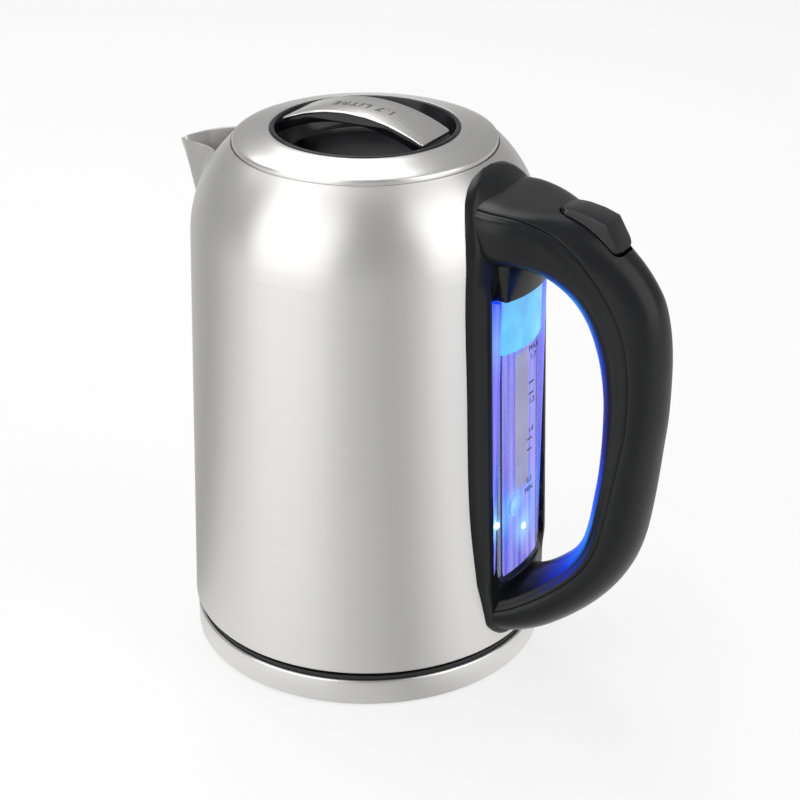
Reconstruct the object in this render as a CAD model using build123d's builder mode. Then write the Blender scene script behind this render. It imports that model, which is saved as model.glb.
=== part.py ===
"""Cordless electric kettle with a lit water gauge in its handle, standing on its power base.

Millimetres, +Z up. The origin is on the jug's axis at the surface the base stands on,
+X points to the handle and -X to the spout, and the object is symmetric about Y = 0.
"""
import os
from math import asin, cos, degrees, hypot, radians, sin, sqrt

from build123d import *

os.makedirs("parts", exist_ok=True)

# ---------------------------------------------------------------- driving dimensions
# Power base
base_radius = 75.0
base_wall = 2.2
base_floor_low = 0.8
base_floor_high = 3.0
trim_radius = 76.2
trim_low = 0.9
trim_high = 12.5
cover_top = 14.2
cord_height = 7.4
cord_radius = 2.6
gland_radius = 3.95
base_screw_circle = 60.0

# 360 degree connector
tower_radius = 11.5
tower_top = 31.0
hub_radius = 20.0
contact_floor = 17.0
pin_bore = 3.2
slot_inner = 6.2
slot_outer = 8.4

# Jug body
wall = 0.9
jug_low = 16.8
jug_radius = 76.9
shoulder_low = 186.0
shoulder_start_radius = 71.9
shoulder_curve = 51.1
mouth_radius = 54.1
mouth_top = 223.0
hem_low = 219.6

# Jug floor
skirt_low = 14.5
skirt_radius = 73.5
plate_top = 52.0
diffuser_radius = 60.0
element_circle = 46.0
element_radius = 3.6
bottom_screw_circle = 58.5

# Lid
lid_radius = 53.7
bowl_rim_radius = 38.5
bowl_rim_top = 229.0
bowl_floor = 217.0
bridge_width = 22.0
bridge_half_span = 33.0
bridge_apex = 237.0
bridge_foot = 229.4
skirt_radius_lid = 49.0
lid_low = 205.0

# Handle
handle_wall = 2.6
plate_gap = 0.3
plate_thickness = 2.8
window_low = 46.0
window_high = 174.5
window_front = 78.3
window_wall = 1.6

# Rocker button, on the slope of the handle's top
button_slope = 28.7
button_length = 29.0
button_width = 13.0
button_centre = (103.9, 206.2)
pivot = (102.5, 199.6)
pin_radius = 1.25
pin_clearance = 0.05
lever_drop = 10.4

# ---------------------------------------------------------------- the jug's outline
side_tilt = (jug_radius - shoulder_start_radius) / (shoulder_low - jug_low)
tilt_length = hypot(1, side_tilt)
shoulder_x = shoulder_start_radius - shoulder_curve / tilt_length
shoulder_z = shoulder_low - shoulder_curve * side_tilt / tilt_length
tangent_angle = degrees(asin((shoulder_low - shoulder_z) / shoulder_curve))


def jug_outer_radius(z):
    """Outer radius of the steel body at height z."""
    if z <= shoulder_low:
        return jug_radius - side_tilt * (z - jug_low)
    return shoulder_x + sqrt(shoulder_curve ** 2 - (z - shoulder_z) ** 2)


def shoulder_angle(radius, grown=0.0):
    """Angle on the shoulder's arc, grown outwards, where it reaches a radius."""
    return degrees(asin(sqrt(1 - ((radius - shoulder_x) / (shoulder_curve + grown)) ** 2)))


def jug_envelope(grown):
    """A solid of the jug's outer form grown outwards, to cut what stands on its wall."""
    with BuildPart() as envelope:
        with BuildSketch(Plane.XZ):
            with BuildLine():
                shoulder = CenterArc(
                    (shoulder_x, shoulder_z),
                    shoulder_curve + grown,
                    tangent_angle,
                    shoulder_angle(mouth_radius, grown) - tangent_angle,
                )
                Polyline(
                    shoulder @ 1,
                    (0, (shoulder @ 1).Y),
                    (0, 0),
                    (jug_outer_radius(0) + grown, 0),
                    shoulder @ 0,
                )
            make_face()
        revolve(axis=Axis.Z)
    return envelope.part


def ring(inner, outer, low, high):
    """A plain ring about the Z axis, or a disc where the inner radius is nought."""
    with BuildPart() as piece:
        with BuildSketch(Plane.XY.offset(low)):
            Circle(outer)
            if inner > 0:
                Circle(inner, mode=Mode.SUBTRACT)
        extrude(amount=high - low)
    return piece.part


# ---------------------------------------------------------------- power base
with BuildPart() as base_foot_ring:
    add(ring(66.1, 70.9, 0, 1.4))
    fillet(base_foot_ring.edges().group_by(Axis.Z)[0], 0.4)
base_foot_ring.part.label = "base_foot_ring"
export_step(base_foot_ring.part, "parts/base_foot_ring.step")

with BuildPart() as base_housing:
    add(ring(0, base_radius, base_floor_low, base_floor_high))
    add(ring(base_radius - base_wall, base_radius, base_floor_high, 11.8))
    with BuildSketch(Plane.XY.offset(base_floor_low)):
        Circle(71.0)
        Circle(66.0, mode=Mode.SUBTRACT)
    extrude(amount=0.6, mode=Mode.SUBTRACT)
    with BuildSketch(Plane.XY.offset(base_floor_low)):
        with PolarLocations(base_screw_circle, 3):
            Circle(3.2)
    extrude(amount=1.2, mode=Mode.SUBTRACT)
    with BuildSketch(Plane.XY.offset(base_floor_low)):
        with PolarLocations(base_screw_circle, 3):
            Circle(1.6)
    extrude(amount=4, mode=Mode.SUBTRACT)
    with BuildSketch(Plane.YZ.offset(-base_radius - 1)):
        with Locations((0, cord_height)):
            Circle(gland_radius + 0.05)
    extrude(amount=6, mode=Mode.SUBTRACT)
base_housing.part.label = "base_housing"
export_step(base_housing.part, "parts/base_housing.step")

with BuildPart() as base_trim_ring:
    add(ring(base_radius + 0.05, trim_radius, trim_low, trim_high))
    add(ring(73.0, trim_radius, 11.9, trim_high))
    fillet(base_trim_ring.edges().filter_by(GeomType.CIRCLE).sort_by(SortBy.RADIUS)[-2:], 0.5)
    with BuildSketch(Plane.YZ.offset(-trim_radius - 1)):
        with Locations((0, cord_height)):
            Circle(gland_radius + 0.05)
    extrude(amount=6, mode=Mode.SUBTRACT)
base_trim_ring.part.label = "base_trim_ring"
export_step(base_trim_ring.part, "parts/base_trim_ring.step")

with BuildPart() as base_top_cover:
    add(ring(hub_radius + 0.3, 74.9, trim_high, cover_top))
    add(ring(70.3, 72.6, 8.5, trim_high))
    fillet(base_top_cover.edges().group_by(Axis.Z)[-1].sort_by(SortBy.RADIUS)[-1], 0.6)
    with BuildSketch(Plane.XY.offset(base_floor_high)):
        with PolarLocations(base_screw_circle, 3):
            Circle(3.6)
    extrude(amount=trim_high - base_floor_high)
    with BuildSketch(Plane.XY.offset(base_floor_high)):
        with PolarLocations(base_screw_circle, 3):
            Circle(1.25)
    extrude(amount=8, mode=Mode.SUBTRACT)
    with BuildSketch(Plane.XY.offset(8)):
        with Locations((-70, 0)):
            Rectangle(12, 11)
    extrude(amount=trim_high - 8, mode=Mode.SUBTRACT)
base_top_cover.part.label = "base_top_cover"
export_step(base_top_cover.part, "parts/base_top_cover.step")

with BuildPart() as base_screws:
    with BuildSketch(Plane.XY.offset(1.0)):
        with PolarLocations(base_screw_circle, 3):
            Circle(2.9)
    extrude(amount=1.0)
    with BuildSketch(Plane.XY.offset(2.0)):
        with PolarLocations(base_screw_circle, 3):
            Circle(1.2)
    extrude(amount=8)
base_screws.part.label = "base_screws"
export_step(base_screws.part, "parts/base_screws.step")

with BuildPart() as base_connector:
    add(ring(0, 14.0, base_floor_high, 10.9))
    add(ring(0, 24.0, 10.9, trim_high))
    add(ring(0, hub_radius, trim_high, cover_top))
    add(ring(0, tower_radius, cover_top, tower_top))
    fillet(base_connector.edges().group_by(Axis.Z)[-1], 1.2)
    with BuildSketch(Plane.XY.offset(contact_floor)):
        Circle(slot_outer)
        Circle(slot_inner, mode=Mode.SUBTRACT)
        Circle(pin_bore)
    extrude(amount=tower_top - contact_floor + 1, mode=Mode.SUBTRACT)
base_connector.part.label = "base_connector"
export_step(base_connector.part, "parts/base_connector.step")

with BuildPart() as base_contacts:
    add(ring(2.6, pin_bore - 0.05, contact_floor, tower_top - 2))
    add(ring(slot_outer - 0.55, slot_outer - 0.05, contact_floor, tower_top - 2))
base_contacts.part.label = "base_contacts"
export_step(base_contacts.part, "parts/base_contacts.step")

with BuildPart() as cord_gland:
    with BuildSketch(Plane.XZ.offset(0)):
        with BuildLine():
            Polyline(
                (-70.8, cord_height + cord_radius),
                (-70.8, cord_height + 4.2),
                (-72.4, cord_height + 4.2),
                (-72.4, cord_height + gland_radius),
                (-76.3, cord_height + gland_radius),
                (-76.3, cord_height + 4.9),
                (-77.6, cord_height + 4.9),
                (-86.0, cord_height + 3.5),
                (-86.0, cord_height + cord_radius),
                close=True,
            )
        make_face()
    revolve(axis=Axis((0, 0, cord_height), (1, 0, 0)))
cord_gland.part.label = "cord_gland"
export_step(cord_gland.part, "parts/cord_gland.step")

with BuildPart() as cord_clamp:
    with BuildSketch(Plane.YZ.offset(-66)):
        with Locations((0, 6.25)):
            Rectangle(17, 6.5)
        with Locations((0, 5.0)):
            Rectangle(8, 4.0, mode=Mode.SUBTRACT)
    extrude(amount=6)
cord_clamp.part.label = "cord_clamp"
export_step(cord_clamp.part, "parts/cord_clamp.step")

# ---------------------------------------------------------------- cordless socket under the jug
with BuildPart() as cordless_socket:
    add(ring(tower_radius + 0.7, 16.2, 15.4, 32.0))
    add(ring(0, 16.2, 32.0, 33.5))
    fillet(cordless_socket.edges().group_by(Axis.Z)[0], 0.8)
cordless_socket.part.label = "cordless_socket"
export_step(cordless_socket.part, "parts/cordless_socket.step")

with BuildPart() as socket_contacts:
    add(ring(0, 1.5, 20.0, 32.0))
    add(ring(6.8, 7.3, 20.0, 32.0))
socket_contacts.part.label = "socket_contacts"
export_step(socket_contacts.part, "parts/socket_contacts.step")

# ---------------------------------------------------------------- jug body
hem_radius = mouth_radius + wall
hem_angle = shoulder_angle(hem_radius)
inner_hem_angle = shoulder_angle(hem_radius, -wall)

# height, reach of the keel from the axis, half width where the spout meets the body
spout_stations = [
    (147.0, 72.6, 1.4),
    (158.0, 76.2, 4.2),
    (172.0, 81.0, 8.0),
    (186.0, 85.7, 11.5),
    (196.0, 88.3, 14.0),
    (207.0, 92.2, 16.2),
    (216.0, 96.0, 18.0),
]
keel_half_width = 0.9
spout_wall = 1.0


def spout_form(inset):
    """The wedge of the spout, or of the channel inside it when inset by the wall."""
    with BuildPart() as form:
        for height, reach, half_width in spout_stations:
            side = half_width - inset
            keel = reach - 2.4 * inset
            tip = keel_half_width - 0.6 * inset
            root = sqrt(jug_outer_radius(height) ** 2 - side ** 2) - 6
            with BuildSketch(Plane.XY.offset(height)):
                with BuildLine():
                    Polyline((-root, side), (-keel, tip), (-keel, -tip), (-root, -side), close=True)
                make_face()
        loft()
    return form.part


# the way from the jug into the spout: the channel, short of its foot and of its rim
with BuildPart() as spout_way:
    add(spout_form(spout_wall))
    with BuildSketch(Plane.XY.offset(162)):
        Rectangle(240, 60)
    extrude(amount=45, mode=Mode.INTERSECT)
spout_opening = spout_way.part

with BuildPart() as jug_body:
    with BuildSketch(Plane.XZ):
        with BuildLine():
            outer_arc = CenterArc(
                (shoulder_x, shoulder_z), shoulder_curve, tangent_angle, hem_angle - tangent_angle
            )
            inner_arc = CenterArc(
                (shoulder_x, shoulder_z), shoulder_curve - wall, tangent_angle, inner_hem_angle - tangent_angle
            )
            Polyline(
                inner_arc @ 0,
                (jug_outer_radius(jug_low) - wall, jug_low),
                (jug_outer_radius(jug_low) - 0.35, jug_low),
                (jug_outer_radius(jug_low), jug_low + 0.7),
                outer_arc @ 0,
            )
            Polyline(
                outer_arc @ 1,
                (mouth_radius + 0.4, mouth_top),
                (mouth_radius, mouth_top - 0.3),
                (mouth_radius, hem_low),
                (hem_radius, hem_low),
                inner_arc @ 1,
            )
        make_face()
    revolve(axis=Axis.Z)
    add(spout_opening, mode=Mode.SUBTRACT)
    with BuildSketch(Plane.YZ.offset(40)):
        with Locations((0, 78), (0, 160)):
            Circle(2.4)
        with Locations((0, 202)):
            Circle(4.2)
        with Locations((6.5, 35)):
            Circle(3.4)
    extrude(amount=40, mode=Mode.SUBTRACT)
jug_body.part.label = "jug_body"
export_step(jug_body.part, "parts/jug_body.step")

with BuildPart() as bottom_cover:
    add(ring(16.6, skirt_radius, skirt_low, 16.5))
    add(ring(71.0, 75.2, 17.0, 24.0))
    add(ring(71.0, skirt_radius, 16.5, 17.0))
    add(ring(16.6, 18.6, 16.5, 30.0))
    with BuildSketch(Plane.XY.offset(16.5)):
        with PolarLocations(bottom_screw_circle, 3, start_angle=60):
            Circle(3.6)
    extrude(amount=23.4)
    with BuildSketch(Plane.XY.offset(skirt_low)):
        with PolarLocations(bottom_screw_circle, 3, start_angle=60):
            Circle(3.1)
    extrude(amount=1.2, mode=Mode.SUBTRACT)
    with BuildSketch(Plane.XY.offset(skirt_low)):
        with PolarLocations(bottom_screw_circle, 3, start_angle=60):
            Circle(1.6)
    extrude(amount=30, mode=Mode.SUBTRACT)
bottom_cover.part.label = "bottom_cover"
export_step(bottom_cover.part, "parts/bottom_cover.step")

with BuildPart() as bottom_screws:
    with BuildSketch(Plane.XY.offset(skirt_low + 0.2)):
        with PolarLocations(bottom_screw_circle, 3, start_angle=60):
            Circle(2.9)
    extrude(amount=1.0)
    with BuildSketch(Plane.XY.offset(skirt_low + 1.2)):
        with PolarLocations(bottom_screw_circle, 3, start_angle=60):
            Circle(1.3)
    extrude(amount=28)
bottom_screws.part.label = "bottom_screws"
export_step(bottom_screws.part, "parts/bottom_screws.step")

# ---------------------------------------------------------------- heater and control under the floor
with BuildPart() as heating_plate:
    add(ring(0, 74.6, plate_top - 1.0, plate_top))
    add(ring(73.7, 74.6, plate_top - 6.0, plate_top - 1.0))
    fillet(heating_plate.edges().group_by(Axis.Z)[-1], 0.6)
heating_plate.part.label = "heating_plate"
export_step(heating_plate.part, "parts/heating_plate.step")

diffuser_low = plate_top - 3.2
with BuildPart() as heat_diffuser:
    add(ring(0, diffuser_radius, diffuser_low, plate_top - 1.0))
heat_diffuser.part.label = "heat_diffuser"
export_step(heat_diffuser.part, "parts/heat_diffuser.step")

element_height = diffuser_low - element_radius
with BuildPart() as element_tube:
    with BuildLine():
        CenterArc((0, 0, element_height), element_circle, 200, 320)
    with BuildSketch(Plane(
        origin=(
            element_circle * cos(radians(200)),
            element_circle * sin(radians(200)),
            element_height,
        ),
        z_dir=(-sin(radians(200)), cos(radians(200)), 0),
    )):
        Circle(element_radius)
    sweep()
    for angle in (200, 160):
        with BuildSketch(Plane(
            origin=(element_circle * cos(radians(angle)), element_circle * sin(radians(angle)), 33),
        )):
            Circle(1.4)
        extrude(amount=element_height - 33)
element_tube.part.label = "element_tube"
export_step(element_tube.part, "parts/element_tube.step")

with BuildPart() as element_bracket:
    add(ring(55.0, 66.0, 40.0, 41.0))
    with BuildSketch(Plane.XY.offset(41.0)):
        with PolarLocations(64.0, 3):
            Rectangle(1.2, 10)
    extrude(amount=plate_top - 1.0 - 41.0)
    with BuildSketch(Plane.XY.offset(39.0)):
        with PolarLocations(bottom_screw_circle, 3, start_angle=60):
            Circle(1.4)
    extrude(amount=3, mode=Mode.SUBTRACT)
element_bracket.part.label = "element_bracket"
export_step(element_bracket.part, "parts/element_bracket.step")

with BuildPart() as control_unit:
    with BuildSketch(Plane.XY.offset(34.2)):
        Circle(22)
        Rectangle(60, 8)
        Circle(30, mode=Mode.INTERSECT)
    extrude(amount=10.5)
    with BuildSketch(Plane.XY.offset(44.7)):
        Circle(20)
    extrude(amount=2.6)
    fillet(control_unit.faces().sort_by(Axis.Z)[-1].edges(), 0.8)
control_unit.part.label = "control_unit"
export_step(control_unit.part, "parts/control_unit.step")

with BuildPart() as bimetal_discs:
    with BuildSketch(Plane.XY.offset(47.7)):
        with Locations((0, 10.5), (0, -10.5)):
            Circle(8)
    extrude(amount=0.7)
bimetal_discs.part.label = "bimetal_discs"
export_step(bimetal_discs.part, "parts/bimetal_discs.step")

# ---------------------------------------------------------------- mouth and spout
with BuildPart() as mouth_collar:
    add(ring(52.0, 56.0, 216.6, hem_low - 0.1))
    fillet(mouth_collar.edges().group_by(Axis.Z)[0].sort_by(SortBy.RADIUS)[0], 0.8)
mouth_collar.part.label = "mouth_collar"
export_step(mouth_collar.part, "parts/mouth_collar.step")

with BuildPart() as spout:
    add(spout_form(0))
    add(spout_form(spout_wall), mode=Mode.SUBTRACT)
    add(jug_envelope(0.02), mode=Mode.SUBTRACT)
    with BuildSketch(Plane.XZ.offset(-30)):
        with BuildLine():
            Polyline((-100, 205.8), (-56, 213.2), (-56, 230), (-100, 230), close=True)
        make_face()
    extrude(amount=60, mode=Mode.SUBTRACT)
spout.part.label = "spout"
export_step(spout.part, "parts/spout.step")

with BuildPart() as filter_frame:
    with BuildSketch(Plane.YZ.offset(-65.6)):
        with Locations((0, 184)):
            RectangleRounded(27, 36, 3)
            RectangleRounded(21, 30, 2, mode=Mode.SUBTRACT)
    extrude(amount=1.8)
filter_frame.part.label = "filter_frame"
export_step(filter_frame.part, "parts/filter_frame.step")

with BuildPart() as filter_mesh:
    with BuildSketch(Plane.YZ.offset(-64.9)):
        with Locations((0, 184)):
            RectangleRounded(20.9, 29.9, 2)
            with GridLocations(3.2, 3.2, 6, 9):
                Circle(1.1, mode=Mode.SUBTRACT)
    extrude(amount=0.4)
filter_mesh.part.label = "filter_mesh"
export_step(filter_mesh.part, "parts/filter_mesh.step")

# ---------------------------------------------------------------- handle
# outer point, inner point of the grip on the middle plane, and half width across
handle_stations = [
    ((66.0, 215.0), (66.0, 186.0), 28.0),
    ((79.0, 214.6), (78.0, 185.8), 24.5),
    ((106.0, 207.7), (94.0, 179.4), 15.6),
    ((121.0, 196.4), (101.3, 172.4), 13.8),
    ((131.6, 182.8), (106.0, 163.4), 13.5),
    ((137.9, 148.0), (111.7, 142.4), 13.4),
    ((135.9, 112.0), (112.2, 112.6), 13.4),
    ((131.4, 77.0), (108.9, 83.5), 13.4),
    ((118.5, 47.5), (101.3, 62.2), 14.3),
    ((92.5, 24.9), (84.5, 48.0), 19.0),
    ((79.0, 20.2), (76.5, 43.2), 21.5),
    ((67.0, 18.8), (66.0, 41.8), 23.0),
]


def oval(half_depth, half_width):
    """Points round an oval, starting on its outermost side."""
    turns = [radians(30 * step) for step in range(12)]
    return [(half_depth * cos(turn), half_width * sin(turn)) for turn in turns]


def handle_form(inset):
    """The handle's rounded form through its stations, or its hollow when inset by the wall."""
    with BuildPart() as form:
        for outer, inner, half_width in handle_stations:
            depth = hypot(outer[0] - inner[0], outer[1] - inner[1])
            across = ((outer[0] - inner[0]) / depth, (outer[1] - inner[1]) / depth)
            middle = ((outer[0] + inner[0]) / 2, (outer[1] + inner[1]) / 2)
            with BuildSketch(Plane(
                origin=(middle[0], 0, middle[1]),
                x_dir=(across[0], 0, across[1]),
                z_dir=(across[1], 0, -across[0]),
            )):
                with BuildLine():
                    Spline(*oval(depth / 2 - inset, half_width - inset), periodic=True)
                make_face()
        loft()
    return form.part


# the parting line between the two handle shells, seen from the side
parting_line = [
    (62.0, 213.0), (80.0, 210.5), (94.5, 204.2), (108.2, 191.0), (118.5, 177.0), (125.2, 161.0),
    (126.2, 143.0), (124.2, 122.6), (122.2, 103.5), (119.6, 85.5), (113.6, 67.5), (104.5, 53.5),
    (92.0, 42.0), (78.0, 35.5), (62.0, 33.0),
]
cut_half_width = 40.0


def outer_side():
    """A block that holds everything outside the handle's parting line."""
    with BuildPart() as block:
        with BuildSketch(Plane.XZ.offset(-cut_half_width)):
            with BuildLine():
                Spline(*parting_line)
                Polyline(parting_line[-1], (62, 0), (150, 0), (150, 240), (62, 240), parting_line[0])
            make_face()
        extrude(amount=2 * cut_half_width)
    return block.part


plate_outer = plate_gap + plate_thickness
solid_handle = handle_form(0)
handle_hollow = handle_form(handle_wall)
beyond_plate = jug_envelope(plate_outer + 0.02)
outside_parting = outer_side()

# half width of the back plate at each height, from its foot up to its shoulder
plate_outline = [
    (11.6, 20.6), (21.2, 26.6), (24.8, 36.0), (28.2, 52.0), (30.8, 78.0), (31.6, 100.0),
    (31.6, 140.0), (31.3, 179.0), (30.0, 203.0), (27.8, 213.0), (21.0, 219.6),
]

with BuildPart() as handle_back_plate:
    add(jug_envelope(plate_outer))
    add(jug_envelope(plate_gap), mode=Mode.SUBTRACT)
    with BuildSketch(Plane.YZ):
        with BuildLine():
            right = Spline(*plate_outline)
            Line(right @ 1, (0, 220.2))
            Line((0, 220.2), (0, 19.6))
            Line((0, 19.6), right @ 0)
        make_face()
        mirror(about=Plane.YZ)
    extrude(amount=90, mode=Mode.INTERSECT)
    with BuildSketch(Plane.YZ.offset(40)):
        with Locations((0, 115)):
            RectangleRounded(45.2, 140, 3)
        with Locations((0, 111.7)):
            Rectangle(37.4, 146.4)
        with Locations((0, 197)):
            Rectangle(24, 22)
        with Locations((0, 32)):
            Rectangle(24, 17)
    extrude(amount=60, mode=Mode.SUBTRACT)
handle_back_plate.part.label = "handle_back_plate"
export_step(handle_back_plate.part, "parts/handle_back_plate.step")

# the button's own frame: x runs down the handle's slope, z stands on it
slope_plane = Plane(
    origin=(button_centre[0], 0, button_centre[1]),
    x_dir=(cos(radians(button_slope)), 0, -sin(radians(button_slope))),
    z_dir=(sin(radians(button_slope)), 0, cos(radians(button_slope))),
)
pivot_plane = Plane(origin=(pivot[0], 0, pivot[1]), x_dir=slope_plane.x_dir, z_dir=(0, -1, 0))

# height on the grip and reach of the inner face, for the two screws that close the handle
grip_screws = [(150.0, 110.1), (96.0, 111.1)]

with BuildPart() as handle_outer_shell:
    add(solid_handle)
    add(handle_hollow, mode=Mode.SUBTRACT)
    add(outside_parting, mode=Mode.INTERSECT)
    add(beyond_plate, mode=Mode.SUBTRACT)
    for height, reach in grip_screws:
        with BuildSketch(Plane.YZ.offset(reach + 4.1)):
            with Locations((0, height)):
                Circle(3.2)
        extrude(amount=22)
    add(solid_handle, mode=Mode.INTERSECT)
    for height, reach in grip_screws:
        with BuildSketch(Plane.YZ.offset(reach + 4)):
            with Locations((0, height)):
                Circle(1.35)
        extrude(amount=10, mode=Mode.SUBTRACT)
    with BuildSketch(slope_plane.offset(-9)):
        SlotOverall(button_length + 3.2, button_width + 1.4)
    extrude(amount=24, mode=Mode.SUBTRACT)
handle_outer_shell.part.label = "handle_outer_shell"
export_step(handle_outer_shell.part, "parts/handle_outer_shell.step")

with BuildPart() as handle_inner_cover:
    add(solid_handle)
    add(handle_hollow, mode=Mode.SUBTRACT)
    add(outside_parting, mode=Mode.SUBTRACT)
    add(beyond_plate, mode=Mode.SUBTRACT)
    for height, reach in grip_screws:
        with BuildSketch(Plane.YZ.offset(reach + 1.2)):
            with Locations((0, height)):
                Circle(4.4)
        extrude(amount=2.6)
        with BuildSketch(Plane.YZ.offset(reach - 3)):
            with Locations((0, height)):
                Circle(3.1)
        extrude(amount=5.0, mode=Mode.SUBTRACT)
        with BuildSketch(Plane.YZ.offset(reach)):
            with Locations((0, height)):
                Circle(1.5)
        extrude(amount=6, mode=Mode.SUBTRACT)
handle_inner_cover.part.label = "handle_inner_cover"
export_step(handle_inner_cover.part, "parts/handle_inner_cover.step")

with BuildPart() as handle_screws:
    for height, reach in grip_screws:
        with BuildSketch(Plane.YZ.offset(reach + 0.6)):
            with Locations((0, height)):
                Circle(2.9)
        extrude(amount=1.4)
        with BuildSketch(Plane.YZ.offset(reach + 2.0)):
            with Locations((0, height)):
                Circle(1.3)
        extrude(amount=11)
handle_screws.part.label = "handle_screws"
export_step(handle_screws.part, "parts/handle_screws.step")

# ---------------------------------------------------------------- handle fixings
with BuildPart() as handle_brackets:
    add(jug_envelope(1.3))
    add(jug_envelope(0.02), mode=Mode.SUBTRACT)
    with BuildSketch(Plane.YZ):
        with Locations((0, 33), (0, 196)):
            Rectangle(22, 13)
    extrude(amount=90, mode=Mode.INTERSECT)
    with BuildSketch(Plane.XY.offset(31.0)):
        with Locations((83, -4)):
            Rectangle(13, 10)
    extrude(amount=2)
    with BuildSketch(Plane.XY.offset(190.0)):
        with Locations((78, 0)):
            Rectangle(14, 16)
    extrude(amount=2)
    add(jug_envelope(0.02), mode=Mode.SUBTRACT)
    with BuildSketch(Plane.YZ.offset(60)):
        with Locations((6.5, 35)):
            Circle(3.4)
        with Locations((0, 202)):
            Circle(4.4)
    extrude(amount=22, mode=Mode.SUBTRACT)
    with BuildSketch(Plane.XY.offset(28)):
        with Locations((85, -4)):
            Circle(1.5)
    extrude(amount=8, mode=Mode.SUBTRACT)
handle_brackets.part.label = "handle_brackets"
export_step(handle_brackets.part, "parts/handle_brackets.step")

with BuildPart() as bracket_screw:
    with BuildSketch(Plane.XY.offset(26.6)):
        with Locations((85, -4)):
            Circle(2.8)
    extrude(amount=1.6)
    with BuildSketch(Plane.XY.offset(28.2)):
        with Locations((85, -4)):
            Circle(1.35)
    extrude(amount=7)
bracket_screw.part.label = "bracket_screw"
export_step(bracket_screw.part, "parts/bracket_screw.step")

# ---------------------------------------------------------------- water window
window_side = 17.5
window_corner = 5.0
window_back = 66.0


def window_block(grown, low, high):
    """The window column's form between two heights, grown outwards, standing in the jug's wall."""
    with BuildPart() as block:
        with BuildSketch(Plane.XY.offset(low)):
            with Locations(((window_front + grown + window_back) / 2, 0)):
                Rectangle(window_front + grown - window_back, 2 * (window_side + grown))
            fillet(vertices().sort_by(Axis.X)[-2:], window_corner + grown)
        extrude(amount=high - low)
    return block.part


seal_depth = 0.8

with BuildPart() as window_column:
    add(window_block(0, window_low, window_high))
    add(window_block(-window_wall, window_low + window_wall, window_high - window_wall), mode=Mode.SUBTRACT)
    add(jug_envelope(seal_depth + 0.02), mode=Mode.SUBTRACT)
window_column.part.label = "window_column"
export_step(window_column.part, "parts/window_column.step")

with BuildPart() as window_seal:
    add(jug_envelope(seal_depth))
    add(jug_envelope(0.02), mode=Mode.SUBTRACT)
    with BuildSketch(Plane.YZ):
        with Locations((0, (window_low + window_high) / 2)):
            Rectangle(2 * window_side, window_high - window_low)
            Rectangle(2 * (window_side - 1.5), window_high - window_low - 3, mode=Mode.SUBTRACT)
    extrude(amount=90, mode=Mode.INTERSECT)
window_seal.part.label = "window_seal"
export_step(window_seal.part, "parts/window_seal.step")

with BuildPart() as window_top_holder:
    add(window_block(0.5, window_high + 0.05, 184.6))
    add(jug_envelope(0.1), mode=Mode.SUBTRACT)
    add(handle_inner_cover.part, mode=Mode.SUBTRACT)
window_top_holder.part.label = "window_top_holder"
export_step(window_top_holder.part, "parts/window_top_holder.step")

with BuildPart() as window_bottom_holder:
    add(window_block(0.5, 39.8, window_low - 0.05))
    add(jug_envelope(0.1), mode=Mode.SUBTRACT)
    add(handle_inner_cover.part, mode=Mode.SUBTRACT)
window_bottom_holder.part.label = "window_bottom_holder"
export_step(window_bottom_holder.part, "parts/window_bottom_holder.step")

with BuildPart() as port_grommets:
    add(jug_envelope(0.7))
    add(jug_envelope(0.02), mode=Mode.SUBTRACT)
    with BuildSketch(Plane.YZ):
        with Locations((0, 78), (0, 160)):
            Circle(4.0)
            Circle(2.2, mode=Mode.SUBTRACT)
    extrude(amount=90, mode=Mode.INTERSECT)
port_grommets.part.label = "port_grommets"
export_step(port_grommets.part, "parts/port_grommets.step")

# printed marks on the window's front: height and length across
marks = [(84.0, 6.0), (103.0, 4.0), (134.0, 4.0), (150.0, 8.0)]
print_depth = 0.12

with BuildPart() as level_marks:
    with BuildSketch(Plane.YZ.offset(window_front + 0.01)):
        for height, across in marks:
            with Locations((0, height)):
                Rectangle(across, 0.7)
    extrude(amount=print_depth)
level_marks.part.label = "level_marks"
export_step(level_marks.part, "parts/level_marks.step")

guide_middle = 20.4
guide_width = 3.2

with BuildPart() as light_guides:
    with BuildSketch(Plane.XY.offset(78)):
        with Locations((72, guide_middle), (72, -guide_middle)):
            Rectangle(5, guide_width)
    extrude(amount=window_high - 78)
    add(jug_envelope(0.1), mode=Mode.SUBTRACT)
light_guides.part.label = "light_guides"
export_step(light_guides.part, "parts/light_guides.step")

with BuildPart() as led_boards:
    with BuildSketch(Plane.XY.offset(58)):
        with Locations((72, guide_middle + 0.9), (72, -guide_middle - 0.9)):
            Rectangle(5, 1.2)
    extrude(amount=19)
    add(jug_envelope(0.1), mode=Mode.SUBTRACT)
led_boards.part.label = "led_boards"
export_step(led_boards.part, "parts/led_boards.step")

with BuildPart() as leds:
    with BuildSketch(Plane.XY.offset(66)):
        with Locations((74.1, guide_middle - 0.75), (74.1, 0.75 - guide_middle)):
            Rectangle(1.6, 1.6)
    extrude(amount=4)
leds.part.label = "leds"
export_step(leds.part, "parts/leds.step")

# ---------------------------------------------------------------- rocker button and trip lever
# side profile of the button in its own frame, from its flush end up to its raised heel
button_profile = [(-14.6, 0.4), (3.5, 6.9), (14.2, 0.3), (12.4, -3.4), (-13.6, -3.2)]

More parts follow.
